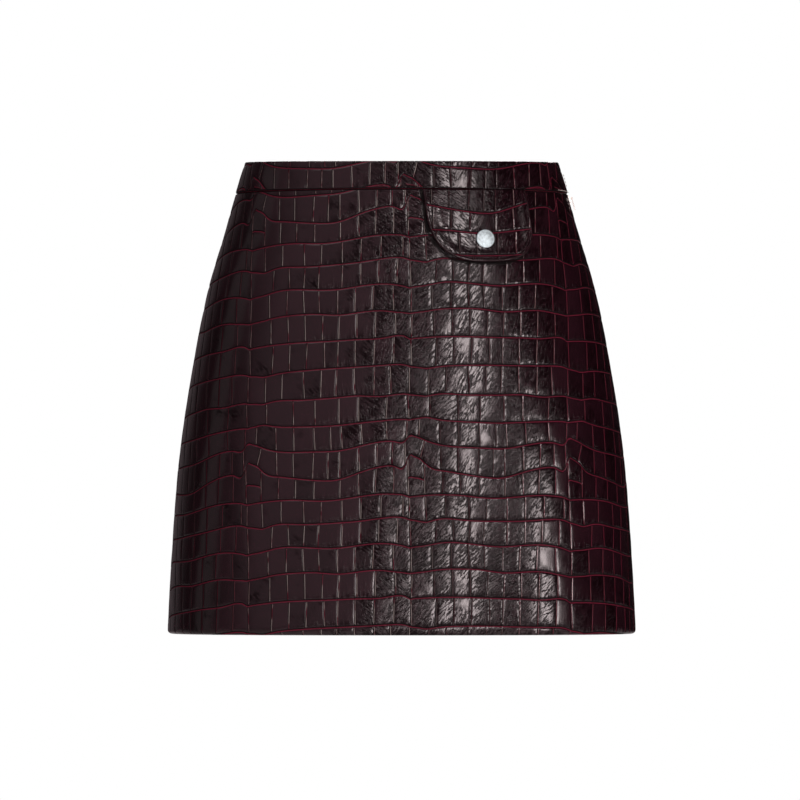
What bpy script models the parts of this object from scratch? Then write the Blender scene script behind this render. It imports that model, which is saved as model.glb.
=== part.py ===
"""Crocodile-embossed leather mini skirt, A-line, in the hollow form that it takes when it is worn.

Metres, +Z up. The origin is the middle of the waist opening, in the plane of its top edge.
The front faces -Y and the wearer's left is +X, so the skirt hangs below the origin.

Every place on the cloth is given by three numbers: the half (front or back), the share of that
half's arc from its middle (0) to a side seam (-1 or +1), and the drop below the top edge.
"""

import math

import bmesh
import bpy
import numpy as np
from mathutils import Matrix, Vector

MM = 0.001

# Cut and cloth
LENGTH = 424 * MM
SEAM_GAP = 0.3 * MM
LEATHER = 1.7 * MM
HEM_TURN_DEPTH = 30 * MM
HEM_TURN_LEATHER = 1.2 * MM
HEM_TURN_STEP = 1 * MM

# Horizontal sections of the worn skirt, in millimetres below the top edge
SECTION_COLUMNS = ("drop", "half_width", "front_depth", "back_depth", "squareness")
SECTIONS = (
    (0, 140.0, 86, 95, 2.20),
    (26, 148.3, 91, 101, 2.25),
    (60, 157.9, 97, 110, 2.30),
    (105, 171.4, 104, 119, 2.35),
    (160, 183.5, 111, 124, 2.40),
    (215, 193.0, 117, 126, 2.42),
    (270, 200.4, 122, 129, 2.44),
    (325, 205.0, 126, 132, 2.45),
    (375, 208.2, 129, 135, 2.45),
    (424, 210.6, 131, 137, 2.45),
)

# Waistband: a folded strip, deeper at the side seams
BAND_DEPTH = 25.0 * MM
BAND_SIDE_DIP = 3.5 * MM
BAND_THICKNESS = 3.0 * MM
BAND_PROUD = 0.6 * MM
BAND_FOLD_POINTS = 7

# Rows of scales pressed into the hide: one repeat of row heights, in millimetres
ROW_HEIGHTS = (23.3, 23.6, 25.4, 26.0, 23.0, 20.6, 23.1, 23.3, 21.3, 22.4)
FIRST_ROW_LINE = 21.1 * MM
FIRST_ROW_HEIGHT = 6
ROW_LINES = 18
ROW_GROOVE_DEPTH = 0.6 * MM
ROW_GROOVE_HALF_WIDTH = 2.4 * MM
LEVEL_SPACING = 0.5 * MM

# On a flared panel the straight rows sag to the side seams, and these rows lie a little askew
SAG_COLUMNS = ("drop", "sag", "tilt")
SAGS = (
    (0, 13.0, 9.0),
    (424, 19.0, 3.5),
)

PANEL_COLUMNS = 26
SIDE_CROWDING = 0.4
INNER_LEVEL_STEP = 6

# Coin pocket flap, hung from the waist seam
FLAP_HALF_WIDTH = 47.3 * MM
FLAP_MIDDLE = 66.0 * MM
FLAP_CORNER_COLUMNS = ("straight", "round", "squareness")
FLAP_CORNERS = {
    "left": (18.0 * MM, 47.0 * MM, 2.60),
    "right": (35.5 * MM, 29.5 * MM, 2.75),
}
FLAP_LIFT = 0.4 * MM
FLAP_LEATHER = 2.5 * MM
FLAP_EDGE_RADIUS = 1.0 * MM
FLAP_COLUMNS = 20
FLAP_ROWS = 8

# Snap on the flap: its domed cap, as (radius, height) from the crown down its side to the foot
SNAP_DROP = 70.5 * MM
SNAP_SIDE = 74.6 * MM
SNAP_STEPS = 36
SNAP_PROFILE = (
    (0.0, 2.5),
    (2.4, 2.42),
    (4.6, 2.12),
    (6.2, 1.62),
    (6.7, 1.46),
    (7.2, 1.44),
    (8.0, 1.12),
    (8.4, 0.62),
    (8.3, 0.16),
    (7.7, 0.0),
    (0.0, 0.0),
)

# Zip in the left side seam
ZIP_SLOT_HALF_WIDTH = 3.0 * MM
ZIP_CHAIN_HALF_WIDTH = 2.5 * MM
ZIP_CHAIN_INSET = 0.2 * MM
ZIP_TAPE_HALF_WIDTH = 10.0 * MM
ZIP_TAPE_GAP = 0.8 * MM
ZIP_TAPE_THICKNESS = 0.7 * MM
ZIP_LAST_ROW_LINE = 7
ZIP_LEVELS = 24
SLIDER_DROP = 34.2 * MM
SLIDER_LENGTH = 9.0 * MM
SLIDER_TOP_WIDTH = 8.0 * MM
SLIDER_FOOT_WIDTH = 5.6 * MM
SLIDER_THICKNESS = 1.0 * MM
SLIDER_BEVEL = 0.25 * MM
PIVOT_UP = 1.0 * MM
PIVOT_RADIUS = 0.4 * MM
EYE_BORE_RADIUS = 0.7 * MM
EYE_RADIUS = 1.1 * MM
EYE_WIDTH = 3.6 * MM
EAR_THICKNESS = 0.9 * MM
EAR_HALF_LENGTH = 1.2 * MM
TAB_LENGTH = 11.0 * MM
TAB_NECK_WIDTH = 3.0 * MM
TAB_NECK_LENGTH = 2.4 * MM
TAB_WIDTH = 4.6 * MM
TAB_THICKNESS = 0.9 * MM
ROUND_SIDES = 20

COLOURS = {
    "oxblood_croc": ((0.030, 0.010, 0.013, 1.0), 0.28, 0.0),
    "brushed_steel": ((0.55, 0.55, 0.56, 1.0), 0.30, 1.0),
    "zip_tape": ((0.060, 0.016, 0.022, 1.0), 0.75, 0.0),
}


def clear_scene():
    """Removes every object of the file."""
    for old in list(bpy.data.objects):
        bpy.data.objects.remove(old, do_unlink=True)


def material(name):
    """Principled material of a named finish."""
    made = bpy.data.materials.get(name)
    if made:
        return made
    colour, roughness, metallic = COLOURS[name]
    made = bpy.data.materials.new(name)
    made.use_nodes = True
    shader = made.node_tree.nodes["Principled BSDF"]
    shader.inputs["Base Color"].default_value = colour
    shader.inputs["Roughness"].default_value = roughness
    shader.inputs["Metallic"].default_value = metallic
    return made


def smooth_curve(knots, values):
    """Natural cubic spline through a table's column, as a function of the drop."""
    knots = np.asarray(knots, float)
    values = np.asarray(values, float)
    spans = np.diff(knots)
    count = len(knots)
    system = np.eye(count)
    bends = np.zeros(count)
    for row in range(1, count - 1):
        system[row, row - 1] = spans[row - 1]
        system[row, row] = 2 * (spans[row - 1] + spans[row])
        system[row, row + 1] = spans[row]
        rise_after = (values[row + 1] - values[row]) / spans[row]
        rise_before = (values[row] - values[row - 1]) / spans[row - 1]
        bends[row] = 6 * (rise_after - rise_before)
    bends = np.linalg.solve(system, bends)

    def read(drop):
        span = np.clip(np.searchsorted(knots, drop) - 1, 0, count - 2)
        width = spans[span]
        after = (drop - knots[span]) / width
        before = 1 - after
        straight = before * values[span] + after * values[span + 1]
        curved = (before**3 - before) * bends[span] + (after**3 - after) * bends[span + 1]
        return straight + curved * width**2 / 6

    return read


def read_table(columns, rows):
    """Curves of a table of millimetres against its drop column, one for each other column."""
    table = np.array(rows, float).T
    scale = {"squareness": 1.0}
    return {
        name: smooth_curve(table[0] * MM, column * scale.get(name, MM))
        for name, column in zip(columns[1:], table[1:])
    }


SECTION = read_table(SECTION_COLUMNS, SECTIONS)
SAG = read_table(SAG_COLUMNS, SAGS)


def section_sizes(half, drop):
    """Half width, depth and squareness of the ring at a drop."""
    return SECTION["half_width"](drop), SECTION[half + "_depth"](drop), SECTION["squareness"](drop)


def quarter_ring(half, drop, samples=241):
    """Points of a superellipse from the middle of a half to its side seam, and the run to each."""
    width, depth, squareness = section_sizes(half, drop)
    angle = np.linspace(0, math.pi / 2, samples)
    across = width * np.sin(angle) ** (2 / squareness)
    deep = depth * np.abs(np.cos(angle)) ** (2 / squareness)
    deep[-1] = 0
    run = np.concatenate(([0], np.cumsum(np.hypot(np.diff(across), np.diff(deep)))))
    return across, deep, run


def half_arc(half, drop):
    """Length of cloth from the middle of a half to its side seam."""
    return quarter_ring(half, drop)[2][-1]


def outward(half, x, y, drop):
    """Unit normal of the worn form: the slope of the ring's equation at a point of it."""
    step = 0.5 * MM

    def ring_value(at):
        width, depth, squareness = section_sizes(half, at)
        return abs(x / width) ** squareness + abs(y / depth) ** squareness

    width, depth, squareness = section_sizes(half, drop)
    slope_x = math.copysign(abs(x / width) ** (squareness - 1) / width, x)
    slope_y = math.copysign(abs(y / depth) ** (squareness - 1) / depth, y)
    slope_z = -(ring_value(drop + step) - ring_value(drop - step)) / (2 * step) / squareness
    return Vector((slope_x, slope_y, slope_z)).normalized()


def cloth_point(half, share, drop, out=0.0):
    """Point of the cloth at a share of the half's arc and a drop, moved out by a distance."""
    across, deep, run = quarter_ring(half, drop)
    along = min(abs(share), 1.0) * run[-1]
    x = math.copysign(np.interp(along, run, across), share)
    y = np.interp(along, run, deep) * (-1 if half == "front" else 1)
    return Vector((x, y, -drop)) + outward(half, x, y, drop) * float(out)


def band_bottom(share):
    """Drop of the waist seam."""
    return BAND_DEPTH + BAND_SIDE_DIP * share**2


def row_line(row, half, share):
    """Drop of the groove above a row of scales: its height at the middle, sag and tilt."""
    heights = [ROW_HEIGHTS[(FIRST_ROW_HEIGHT + below) % len(ROW_HEIGHTS)] for below in range(row)]
    middle = FIRST_ROW_LINE + sum(heights) * MM
    lean = 1 if half == "front" else -1
    return middle + SAG["sag"](middle) * share**2 - lean * SAG["tilt"](middle) * share


def finish_object(name, mesh_builder, finish, smooth_angle=math.radians(40)):
    """Object of one closed body from a bmesh, its faces pointing out."""
    bmesh.ops.recalc_face_normals(mesh_builder, faces=mesh_builder.faces)
    mesh = bpy.data.meshes.new(name)
    mesh_builder.to_mesh(mesh)
    mesh_builder.free()
    mesh.shade_smooth()
    mesh.set_sharp_from_angle(angle=smooth_angle)
    mesh.materials.append(material(finish))
    made = bpy.data.objects.new(name, mesh)
    skirt_parts.objects.link(made)
    return made


def add_grid(builder, points):
    """Vertices of a grid of points and the quads between them."""
    grid = [[builder.verts.new(point) for point in row] for row in points]
    for upper, lower in zip(grid, grid[1:]):
        for corner in range(len(upper) - 1):
            builder.faces.new((upper[corner], upper[corner + 1], lower[corner + 1], lower[corner]))
    return grid


def add_ribbon(builder, one, other, closed=False):
    """Quads between two lines of as many vertices."""
    count = len(one)
    for here in range(count if closed else count - 1):
        there = (here + 1) % count
        builder.faces.new((one[here], one[there], other[there], other[here]))


def add_stitched_edge(builder, one, other):
    """Triangles between two lines of vertices that run down together, in unlike steps."""
    here = there = 0
    while here < len(one) - 1 or there < len(other) - 1:
        other_done = there == len(other) - 1
        one_left = here < len(one) - 1
        if other_done or (one_left and one[here + 1].co.z >= other[there + 1].co.z):
            builder.faces.new((one[here], one[here + 1], other[there]))
            here += 1
        else:
            builder.faces.new((one[here], other[there + 1], other[there]))
            there += 1


def panel_levels(half, share):
    """Drops of the outer wall's levels at a share of the arc, with the groove depth at each."""
    top = band_bottom(share) + SEAM_GAP
    raw = []
    for row in range(ROW_LINES):
        line = row_line(row, half, share)
        for side in (-1, 0, 1):
            depth = ROW_GROOVE_DEPTH if side == 0 else 0.0
            raw.append((line + side * ROW_GROOVE_HALF_WIDTH, depth))
    levels = [(top, 0.0)]
    for order, (drop, depth) in enumerate(raw, 1):
        lowest = LENGTH - (len(raw) + 1 - order) * LEVEL_SPACING
        kept = min(max(drop, top + order * LEVEL_SPACING), lowest)
        levels.append((kept, depth if kept == drop else 0.0))
    levels.append((LENGTH, 0.0))
    return levels


def panel_shares(half, drop, in_slot):
    """Shares of the columns at a level: crowded to the side seams, short of them by the gap."""
    even = np.linspace(-1, 1, PANEL_COLUMNS)
    shares = (1 - SIDE_CROWDING) * even + SIDE_CROWDING * np.sin(even * math.pi / 2)
    arc = half_arc(half, drop)
    shares[0] += SEAM_GAP / 2 / arc
    shares[-1] -= (ZIP_SLOT_HALF_WIDTH if in_slot else SEAM_GAP / 2) / arc
    return shares


def zip_foot_level():
    """Number of the outer level at which the zip's slot ends."""
    return 1 + 3 * ZIP_LAST_ROW_LINE + 1


def build_panel(half):
    """Front or back: an outer wall with rows of scales pressed in, over a plain inside."""
    plain = panel_shares(half, LENGTH / 2, False)
    levels = np.array([panel_levels(half, share) for share in plain])
    level_count = levels.shape[1]
    outer = []
    for level in range(level_count):
        drops = levels[:, level, 0]
        shares = panel_shares(half, drops.mean(), level <= zip_foot_level())
        outer.append(
            [
                cloth_point(half, share, drop, -depth)
                for share, drop, depth in zip(shares, drops, levels[:, level, 1])
            ]
        )

    turn_top = LENGTH - HEM_TURN_DEPTH
    chosen = {*range(0, level_count, INNER_LEVEL_STEP), zip_foot_level(), zip_foot_level() + 1}
    lowest_drops = levels[:, :, 0].max(axis=0)
    inner = []
    for level in sorted(chosen):
        if lowest_drops[level] > turn_top - 2 * HEM_TURN_STEP:
            break
        drops = levels[:, level, 0]
        shares = panel_shares(half, drops.mean(), level <= zip_foot_level())
        inner.append([cloth_point(half, s, d, -LEATHER) for s, d in zip(shares, drops)])
    turned = LEATHER + HEM_TURN_LEATHER
    for drop, wall in ((turn_top - HEM_TURN_STEP, LEATHER), (turn_top, turned), (LENGTH, turned)):
        shares = panel_shares(half, drop, False)
        inner.append([cloth_point(half, share, drop, -wall) for share in shares])

    builder = bmesh.new()
    outside = add_grid(builder, outer)
    inside = add_grid(builder, inner)
    add_ribbon(builder, outside[0], inside[0])
    add_ribbon(builder, outside[-1], inside[-1])
    for edge in (0, -1):
        add_stitched_edge(builder, [row[edge] for row in outside], [row[edge] for row in inside])
    return finish_object(half + "_panel", builder, "oxblood_croc")


def build_waistband(half):
    """Half of the waistband: a strip folded over its top edge, carried round the half's arc."""
    fold_radius = BAND_THICKNESS / 2
    middle_out = BAND_PROUD - fold_radius
    fold = [
        (middle_out + fold_radius * math.cos(turn), fold_radius - fold_radius * math.sin(turn))
        for turn in np.linspace(0, math.pi, BAND_FOLD_POINTS)
    ]
    builder = bmesh.new()
    columns = []
    for share in panel_shares(half, BAND_DEPTH / 2, False):
        bottom = band_bottom(share)
        outline = [(BAND_PROUD, bottom), *fold, (BAND_PROUD - BAND_THICKNESS, bottom)]
        columns.append([builder.verts.new(cloth_point(half, share, drop, out)) for out, drop in outline])
    for one, other in zip(columns, columns[1:]):
        add_ribbon(builder, one, other, closed=True)
    for end in (columns[0], columns[-1]):
        builder.faces.new(end)
    return finish_object("waistband_" + half, builder, "oxblood_croc")


def flap_depth(across):
    """Depth of the flap at a share of its half width: straight sides, a superellipse below."""
    corner = dict(zip(FLAP_CORNER_COLUMNS, FLAP_CORNERS["left" if across < 0 else "right"]))
    power = corner["squareness"]
    rounded = max(0.0, 1 - abs(across) ** power) ** (1 / power)
    return corner["straight"] + corner["round"] * rounded


def flap_grid(inset, out):
    """Grid of the flap's points, drawn in from its outline and moved out from the front panel."""
    grid = []
    top = band_bottom(0) + BAND_SIDE_DIP * (FLAP_MIDDLE / half_arc("front", BAND_DEPTH)) ** 2
    for row in np.linspace(0, 1, FLAP_ROWS + 1):
        line = []
        for turn in np.linspace(-math.pi / 2, math.pi / 2, FLAP_COLUMNS + 1):
            across = math.sin(turn)
            start = top + 2 * SEAM_GAP + inset
            drop = start + row * (flap_depth(across) - 2 * inset)
            middle = FLAP_MIDDLE * half_arc("front", drop) / half_arc("front", BAND_DEPTH)
            along = middle + across * (FLAP_HALF_WIDTH - inset)
            line.append(cloth_point("front", along / half_arc("front", drop), drop, out))
        grid.append(line)
    return grid


def grid_rim(grid):
    """Vertices round the edge of a grid, in order."""
    right = [row[-1] for row in grid[1:-1]]
    left = [row[0] for row in grid[1:-1]]
    return grid[0] + right + grid[-1][::-1] + left[::-1]


def build_flap():
    """Coin pocket flap: a doubled leather tongue with a rounded edge, lying on the front panel."""
    builder = bmesh.new()
    under = add_grid(builder, flap_grid(0.0, FLAP_LIFT))
    upper = add_grid(builder, flap_grid(FLAP_EDGE_RADIUS, FLAP_LIFT + FLAP_LEATHER))
    shoulder_points = flap_grid(0.0, FLAP_LIFT + FLAP_LEATHER - FLAP_EDGE_RADIUS)
    shoulder = [builder.verts.new(point) for point in grid_rim(shoulder_points)]
    add_ribbon(builder, grid_rim(under), shoulder, closed=True)
    add_ribbon(builder, shoulder, grid_rim(upper), closed=True)
    return finish_object("pocket_flap", builder, "oxblood_croc")


def surface_frame(half, share, drop, out):
    """Matrix of a place on the cloth: its own Z points out, its own Y up the cloth."""
    place = cloth_point(half, share, drop, out)
    normal = outward(half, place.x, place.y, drop)
    side = Vector((0, 0, 1)).cross(normal).normalized()
    up = normal.cross(side)
    turn = Matrix((side, up, normal)).transposed()
    return Matrix.Translation(place) @ turn.to_4x4()


def build_snap():
    """Domed cap of the snap: its profile turned about its own axis."""
    points = [(radius * MM, 0, height * MM) for radius, height in SNAP_PROFILE]
    edges = [(here, here + 1) for here in range(len(points) - 1)]
    mesh = bpy.data.meshes.new("snap_cap")
    mesh.from_pydata(points, edges, [])
    mesh.materials.append(material("brushed_steel"))
    cap = bpy.data.objects.new("snap_cap", mesh)
    skirt_parts.objects.link(cap)
    turned = cap.modifiers.new("turned", "SCREW")
    turned.steps = SNAP_STEPS
    turned.render_steps = SNAP_STEPS
    turned.use_merge_vertices = True
    turned.merge_threshold = 0.01 * MM
    turned.use_smooth_shade = True
    lift = FLAP_LIFT + FLAP_LEATHER + SEAM_GAP
    share = SNAP_SIDE / half_arc("front", SNAP_DROP)
    cap.matrix_world = surface_frame("front", share, SNAP_DROP, lift)
    return cap


def zip_section():
    """Section of the zip: the chain between the panels' edges, the tape behind them."""
    tape_front = LEATHER + ZIP_TAPE_GAP
    tape_back = tape_front + ZIP_TAPE_THICKNESS
    right = (
        (0.0, ZIP_CHAIN_INSET),
        (ZIP_CHAIN_HALF_WIDTH, ZIP_CHAIN_INSET),
        (ZIP_CHAIN_HALF_WIDTH, tape_front),
        (ZIP_TAPE_HALF_WIDTH / 2, tape_front),
        (ZIP_TAPE_HALF_WIDTH, tape_front),
        (ZIP_TAPE_HALF_WIDTH, tape_back),
        (ZIP_TAPE_HALF_WIDTH / 2, tape_back),
        (0.0, tape_back),
    )
    left = [(-side, inset) for side, inset in right[-2:0:-1]]
    return [*right, *left]


def build_zip_chain():
    """Closed zip in the side seam, from the waist seam down to the end of its slot."""
    builder = bmesh.new()
    top = band_bottom(1.0) + 2 * SEAM_GAP
    foot = min(row_line(ZIP_LAST_ROW_LINE, half, 1.0) for half in ("front", "back")) - SEAM_GAP
    rings = []
    for drop in np.linspace(top, foot, ZIP_LEVELS):
        ring = []
        for side, inset in zip_section():
            half = "front" if side <= 0 else "back"
            share = 1 - abs(side) / half_arc(half, drop)
            ring.append(builder.verts.new(cloth_point(half, share, drop, -inset)))
        rings.append(ring)
    for one, other in zip(rings, rings[1:]):
        add_ribbon(builder, one, other, closed=True)
    for end in (rings[0], rings[-1]):
        builder.faces.new(end)
    return finish_object("zip_chain", builder, "zip_tape")


def box_mesh(low, high, foot_share=1.0):
    """Bmesh of a box between two corners, its foot narrowed across Y."""
    builder = bmesh.new()
    bmesh.ops.create_cube(builder, size=1.0)
    low = Vector(low)
    size = Vector(high) - low
    for vertex in builder.verts:
        narrow = foot_share if vertex.co.z < 0 else 1.0
        vertex.co = Vector(
            (
                low.x + (vertex.co.x + 0.5) * size.x,
                low.y + (vertex.co.y * narrow + 0.5) * size.y,
                low.z + (vertex.co.z + 0.5) * size.z,
            )
        )
    return builder


def rod_mesh(radius, length, place):
    """Bmesh of a rod along Y."""
    builder = bmesh.new()
    bmesh.ops.create_cone(
        builder,
        cap_ends=True,
        segments=ROUND_SIDES,
        radius1=radius,
        radius2=radius,
        depth=length,
        matrix=Matrix.Translation(place) @ Matrix.Rotation(math.pi / 2, 4, "X"),
    )
    return builder


def loose_object(name, builder, collection):
    """Object of a bmesh, in a collection."""
    mesh = bpy.data.meshes.new(name)
    builder.to_mesh(mesh)
    builder.free()
    made = bpy.data.objects.new(name, mesh)
    collection.objects.link(made)
    return made


def helper(name, builder):
    """Object that only shapes another one by a Boolean."""
    made = loose_object(name, builder, skirt_helpers)
    made.hide_render = True
    made.display_type = "WIRE"
    return made


def add_boolean(target, other, operation):
    """Boolean of a helper on a part, both in the same frame."""
    other.parent = target
    step = target.modifiers.new(other.name, "BOOLEAN")
    step.object = other
    step.operation = operation
    step.solver = "EXACT"


def zip_top_frame():
    """Empty on the side seam at the slider: its X points out and its Z up the cloth."""
    drop = SLIDER_DROP
    place = cloth_point("front", 1.0, drop)
    normal = outward("front", place.x, 0.0, drop)
    empty = bpy.data.objects.new("zip_top", None)
    empty.location = place
    empty.rotation_euler = (0, -math.atan2(normal.z, normal.x), 0)
    skirt_parts.objects.link(empty)
    return empty


def build_slider(frame):
    """Zip slider: a tapered plate over the chain, with two ears and the pivot between them."""
    face = SEAM_GAP + SLIDER_THICKNESS
    pivot_out = face + SEAM_GAP + EYE_RADIUS
    half_length = SLIDER_LENGTH / 2
    plate = box_mesh(
        (SEAM_GAP, -SLIDER_TOP_WIDTH / 2, -half_length),
        (face, SLIDER_TOP_WIDTH / 2, half_length),
        foot_share=SLIDER_FOOT_WIDTH / SLIDER_TOP_WIDTH,
    )
    bmesh.ops.bevel(plate, geom=plate.edges, offset=SLIDER_BEVEL, segments=2, affect="EDGES")
    slider = loose_object("zip_slider", plate, skirt_parts)
    slider.data.materials.append(material("brushed_steel"))
    slider.parent = frame
    ear_start = EYE_WIDTH / 2 + SEAM_GAP
    ear_foot = face - SLIDER_THICKNESS / 2
    for name, side in (("front_ear", -1), ("back_ear", 1)):
        near, far = sorted((side * ear_start, side * (ear_start + EAR_THICKNESS)))
        ear = box_mesh(
            (ear_foot, near, PIVOT_UP - EAR_HALF_LENGTH),
            (pivot_out + PIVOT_RADIUS * 1.6, far, PIVOT_UP + EAR_HALF_LENGTH),
        )
        add_boolean(slider, helper(name, ear), "UNION")
    pivot = rod_mesh(PIVOT_RADIUS, 2 * ear_start + EAR_THICKNESS, (pivot_out, 0, PIVOT_UP))
    add_boolean(slider, helper("pivot", pivot), "UNION")
    return slider


def build_pull(frame):
    """Pull tab: an eye round the slider's pivot with a flat tongue below, its origin on the axis."""
    pivot_out = SEAM_GAP + SLIDER_THICKNESS + SEAM_GAP + EYE_RADIUS
    eye = rod_mesh(EYE_RADIUS, EYE_WIDTH, (0, 0, 0))
    pull = loose_object("zip_pull", eye, skirt_parts)
    pull.data.materials.append(material("brushed_steel"))
    pull.parent = frame
    pull.location = (pivot_out, 0, PIVOT_UP)
    half_thickness = TAB_THICKNESS / 2
    neck = box_mesh(
        (-half_thickness, -TAB_NECK_WIDTH / 2, -TAB_NECK_LENGTH - half_thickness),
        (half_thickness, TAB_NECK_WIDTH / 2, -EYE_BORE_RADIUS),
    )
    tongue = box_mesh(
        (-half_thickness, -TAB_WIDTH / 2, -TAB_LENGTH),
        (half_thickness, TAB_WIDTH / 2, -TAB_NECK_LENGTH),
    )
    bmesh.ops.bevel(tongue, geom=tongue.edges, offset=SLIDER_BEVEL, segments=2, affect="EDGES")
    add_boolean(pull, helper("neck", neck), "UNION")
    add_boolean(pull, helper("tongue", tongue), "UNION")
    bore = rod_mesh(EYE_BORE_RADIUS, 2 * EYE_WIDTH, (0, 0, 0))
    add_boolean(pull, helper("eye_bore", bore), "DIFFERENCE")
    return pull


clear_scene()
skirt_parts = bpy.data.collections.new("leather_skirt")
skirt_helpers = bpy.data.collections.new("skirt_helpers")
for collection in (skirt_parts, skirt_helpers):
    bpy.context.scene.collection.children.link(collection)

for half_name in ("front", "back"):
    build_panel(half_name)
    build_waistband(half_name)
build_flap()
build_snap()
build_zip_chain()
zip_top = zip_top_frame()
build_slider(zip_top)
build_pull(zip_top)
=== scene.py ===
"""Looks of a crocodile-embossed leather mini skirt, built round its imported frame.

Every place on the cloth is given by the half (front or back), the arc from that half's middle
in metres (positive to the wearer's left) and the drop below the top edge. The front faces -Y.
"""

import math

import bpy
import numpy as np
from mathutils import Matrix, Vector


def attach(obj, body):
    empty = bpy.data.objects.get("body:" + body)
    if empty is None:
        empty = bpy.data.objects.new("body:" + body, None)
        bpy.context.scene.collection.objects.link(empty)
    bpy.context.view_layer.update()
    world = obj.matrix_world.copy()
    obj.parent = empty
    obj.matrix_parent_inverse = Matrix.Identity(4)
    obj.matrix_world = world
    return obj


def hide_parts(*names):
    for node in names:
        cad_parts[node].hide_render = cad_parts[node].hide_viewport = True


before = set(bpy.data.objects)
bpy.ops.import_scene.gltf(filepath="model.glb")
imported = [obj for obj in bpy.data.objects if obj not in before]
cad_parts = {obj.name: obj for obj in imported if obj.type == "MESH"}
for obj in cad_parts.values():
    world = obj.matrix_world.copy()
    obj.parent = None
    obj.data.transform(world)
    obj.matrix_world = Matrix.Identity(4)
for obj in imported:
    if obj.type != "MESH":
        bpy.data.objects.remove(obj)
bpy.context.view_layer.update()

bl_info = {
    "name": "Crocodile leather skirt",
    "version": (1, 0, 0),
    "blender": (4, 5, 0),
    "location": "View3D > Sidebar > Leather skirt",
    "description": "Builds an embossed leather mini skirt and its studio round a packed frame",
    "category": "Object",
}

MM = 0.001
SKIRT = "skirt"
LEATHER_SLOT = "croc_leather"

# Worn form of the cloth: horizontal sections, in millimetres below the top edge
LENGTH = 424 * MM
SECTION_COLUMNS = ("drop", "half_width", "front_depth", "back_depth", "squareness")
SECTIONS = (
    (0, 140.0, 86, 95, 2.20),
    (26, 148.3, 91, 101, 2.25),
    (60, 157.9, 97, 110, 2.30),
    (105, 171.4, 104, 119, 2.35),
    (160, 183.5, 111, 124, 2.40),
    (215, 193.0, 117, 126, 2.42),
    (270, 200.4, 122, 129, 2.44),
    (325, 205.0, 126, 132, 2.45),
    (375, 208.2, 129, 135, 2.45),
    (424, 210.6, 131, 137, 2.45),
)
SLOPE_STEP = 0.5 * MM
SEAM_GAP = 0.3 * MM
PANEL_LEATHER = 1.7 * MM
HEM_TURN_DEPTH = 30 * MM
HEM_TURN_LEATHER = 1.2 * MM
BAND_DEPTH = 25.0 * MM
BAND_SIDE_DIP = 3.5 * MM
BAND_THICKNESS = 3.0 * MM
BAND_PROUD = 0.6 * MM
ZIP_SLOT_HALF_WIDTH = 3.0 * MM
ZIP_ROWS = 8
FLOOR_HEIGHT = -0.774
PANEL_CUT_AREA = {"front": 0.202, "back": 0.208}

# Rows of scales: heights of one repeat, the first line, and how the lines sag and tilt
ROW_HEIGHTS = (23.3, 23.6, 25.4, 26.0, 23.0, 20.6, 23.1, 23.3, 21.3, 22.4)
FIRST_ROW_LINE = 0.5 * MM
ROW_LINES = 20
LINE_SAG = (13.0 * MM, 19.0 * MM)
LINE_TILT = (9.0 * MM, 3.5 * MM)

# Charted repeat of the emboss: it is 160 units long and ten rows high, and is laid side by side
CHART_UNIT = 0.925 * MM
CHART_RISE_UNIT = 0.9 * MM
CHART_UNITS = 160
CHART_STATIONS = (0, 4, 10, 16, 22, 31, 51, 71, 91, 111, 136, 148, 154, 157.5)
CHART_LINES = (
    (2.9, 2.3, 1.7, 0.9, -0.2, -1.8, -1.7, 0.4, 1.3, -0.6, -1.8, -0.4, 0.9, 2.0),
    (2.4, 2.1, 1.4, 0.8, -0.2, -1.3, -1.9, -1.1, 1.1, -0.2, -0.9, 0.8, 1.5, 2.1),
    (1.4, 1.3, 0.9, 0.5, 0.2, -0.1, -0.2, 0.2, 0.4, 0.2, -0.3, -2.0, -1.7, -0.4),
    (0.4, 1.2, 1.9, 2.9, 2.4, 1.1, 0.1, -0.2, -0.3, -0.6, -1.3, -1.7, -1.3, -0.5),
    (-0.4, 0.2, 0.8, 1.5, 0.5, -0.7, 0.2, 0.5, 0.1, -0.7, 0.6, -0.8, -1.1, -0.9),
    (-0.9, -1.6, -2.4, -3.2, -2.2, -0.4, 1.3, 2.2, 2.2, 0.9, -0.8, -1.5, -1.5, -1.2),
    (-8.0, -7.8, -5.8, -3.2, -0.8, 1.6, 3.7, 4.5, 4.7, 1.4, -3.0, -2.0, -1.4, -4.6),
    (-13.8, -13.5, -10.8, -5.2, -0.9, 1.2, 4.5, 7.4, 7.8, 2.0, -4.0, -2.6, -1.4, -7.4),
    (1.0, 0.8, 0.2, -0.2, -0.6, -0.8, -0.1, 2.0, 1.9, -0.4, -2.3, -1.8, -1.0, 0.2),
    (-0.2, 0.6, 1.7, 2.7, 1.3, -0.6, 0.4, 1.3, 1.1, 0.3, -2.3, -2.9, -2.2, -1.2),
)
CHART_UPRIGHTS = (
    (1.8, 22, 40.3, 57.2, 72.4, 90.6, 107.6, 125, 144.5),
    (2.3, 23.8, 41.6, 58.7, 75.9, 92, 109.3, 127.2, 146.7),
    (1.8, 26, 43.1, 60.2, 77.8, 90.8, 107.6, 126, 145),
    (0, 18.6, 35.5, 57.4, 74.4, 89.4, 107, 126, 142),
    (-1, 20, 47, 68.6, 92, 111, 138),
    (-2.5, 9.5, 29.6, 47.5, 68, 84, 94.6, 114, 138),
    (-4, 12.5, 30.4, 47, 66.6, 81.3, 92.7, 111.4, 128.8, 143.4),
    (-1.2, 14.6, 32.2, 49.3, 67.6, 93, 111, 127.4, 144.8),
    (0, 16, 35, 57.4, 74.6, 95, 113.3, 132.6, 153.7),
    (1, 25.8, 42.4, 57.7, 72, 95, 113, 130.4, 148.3),
)
SPLIT_SCALE_ROW = 7
SPLIT_SCALE_UNITS = (-1.2, 14.6)
SPLIT_SCALE_SHARE = 0.53


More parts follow.
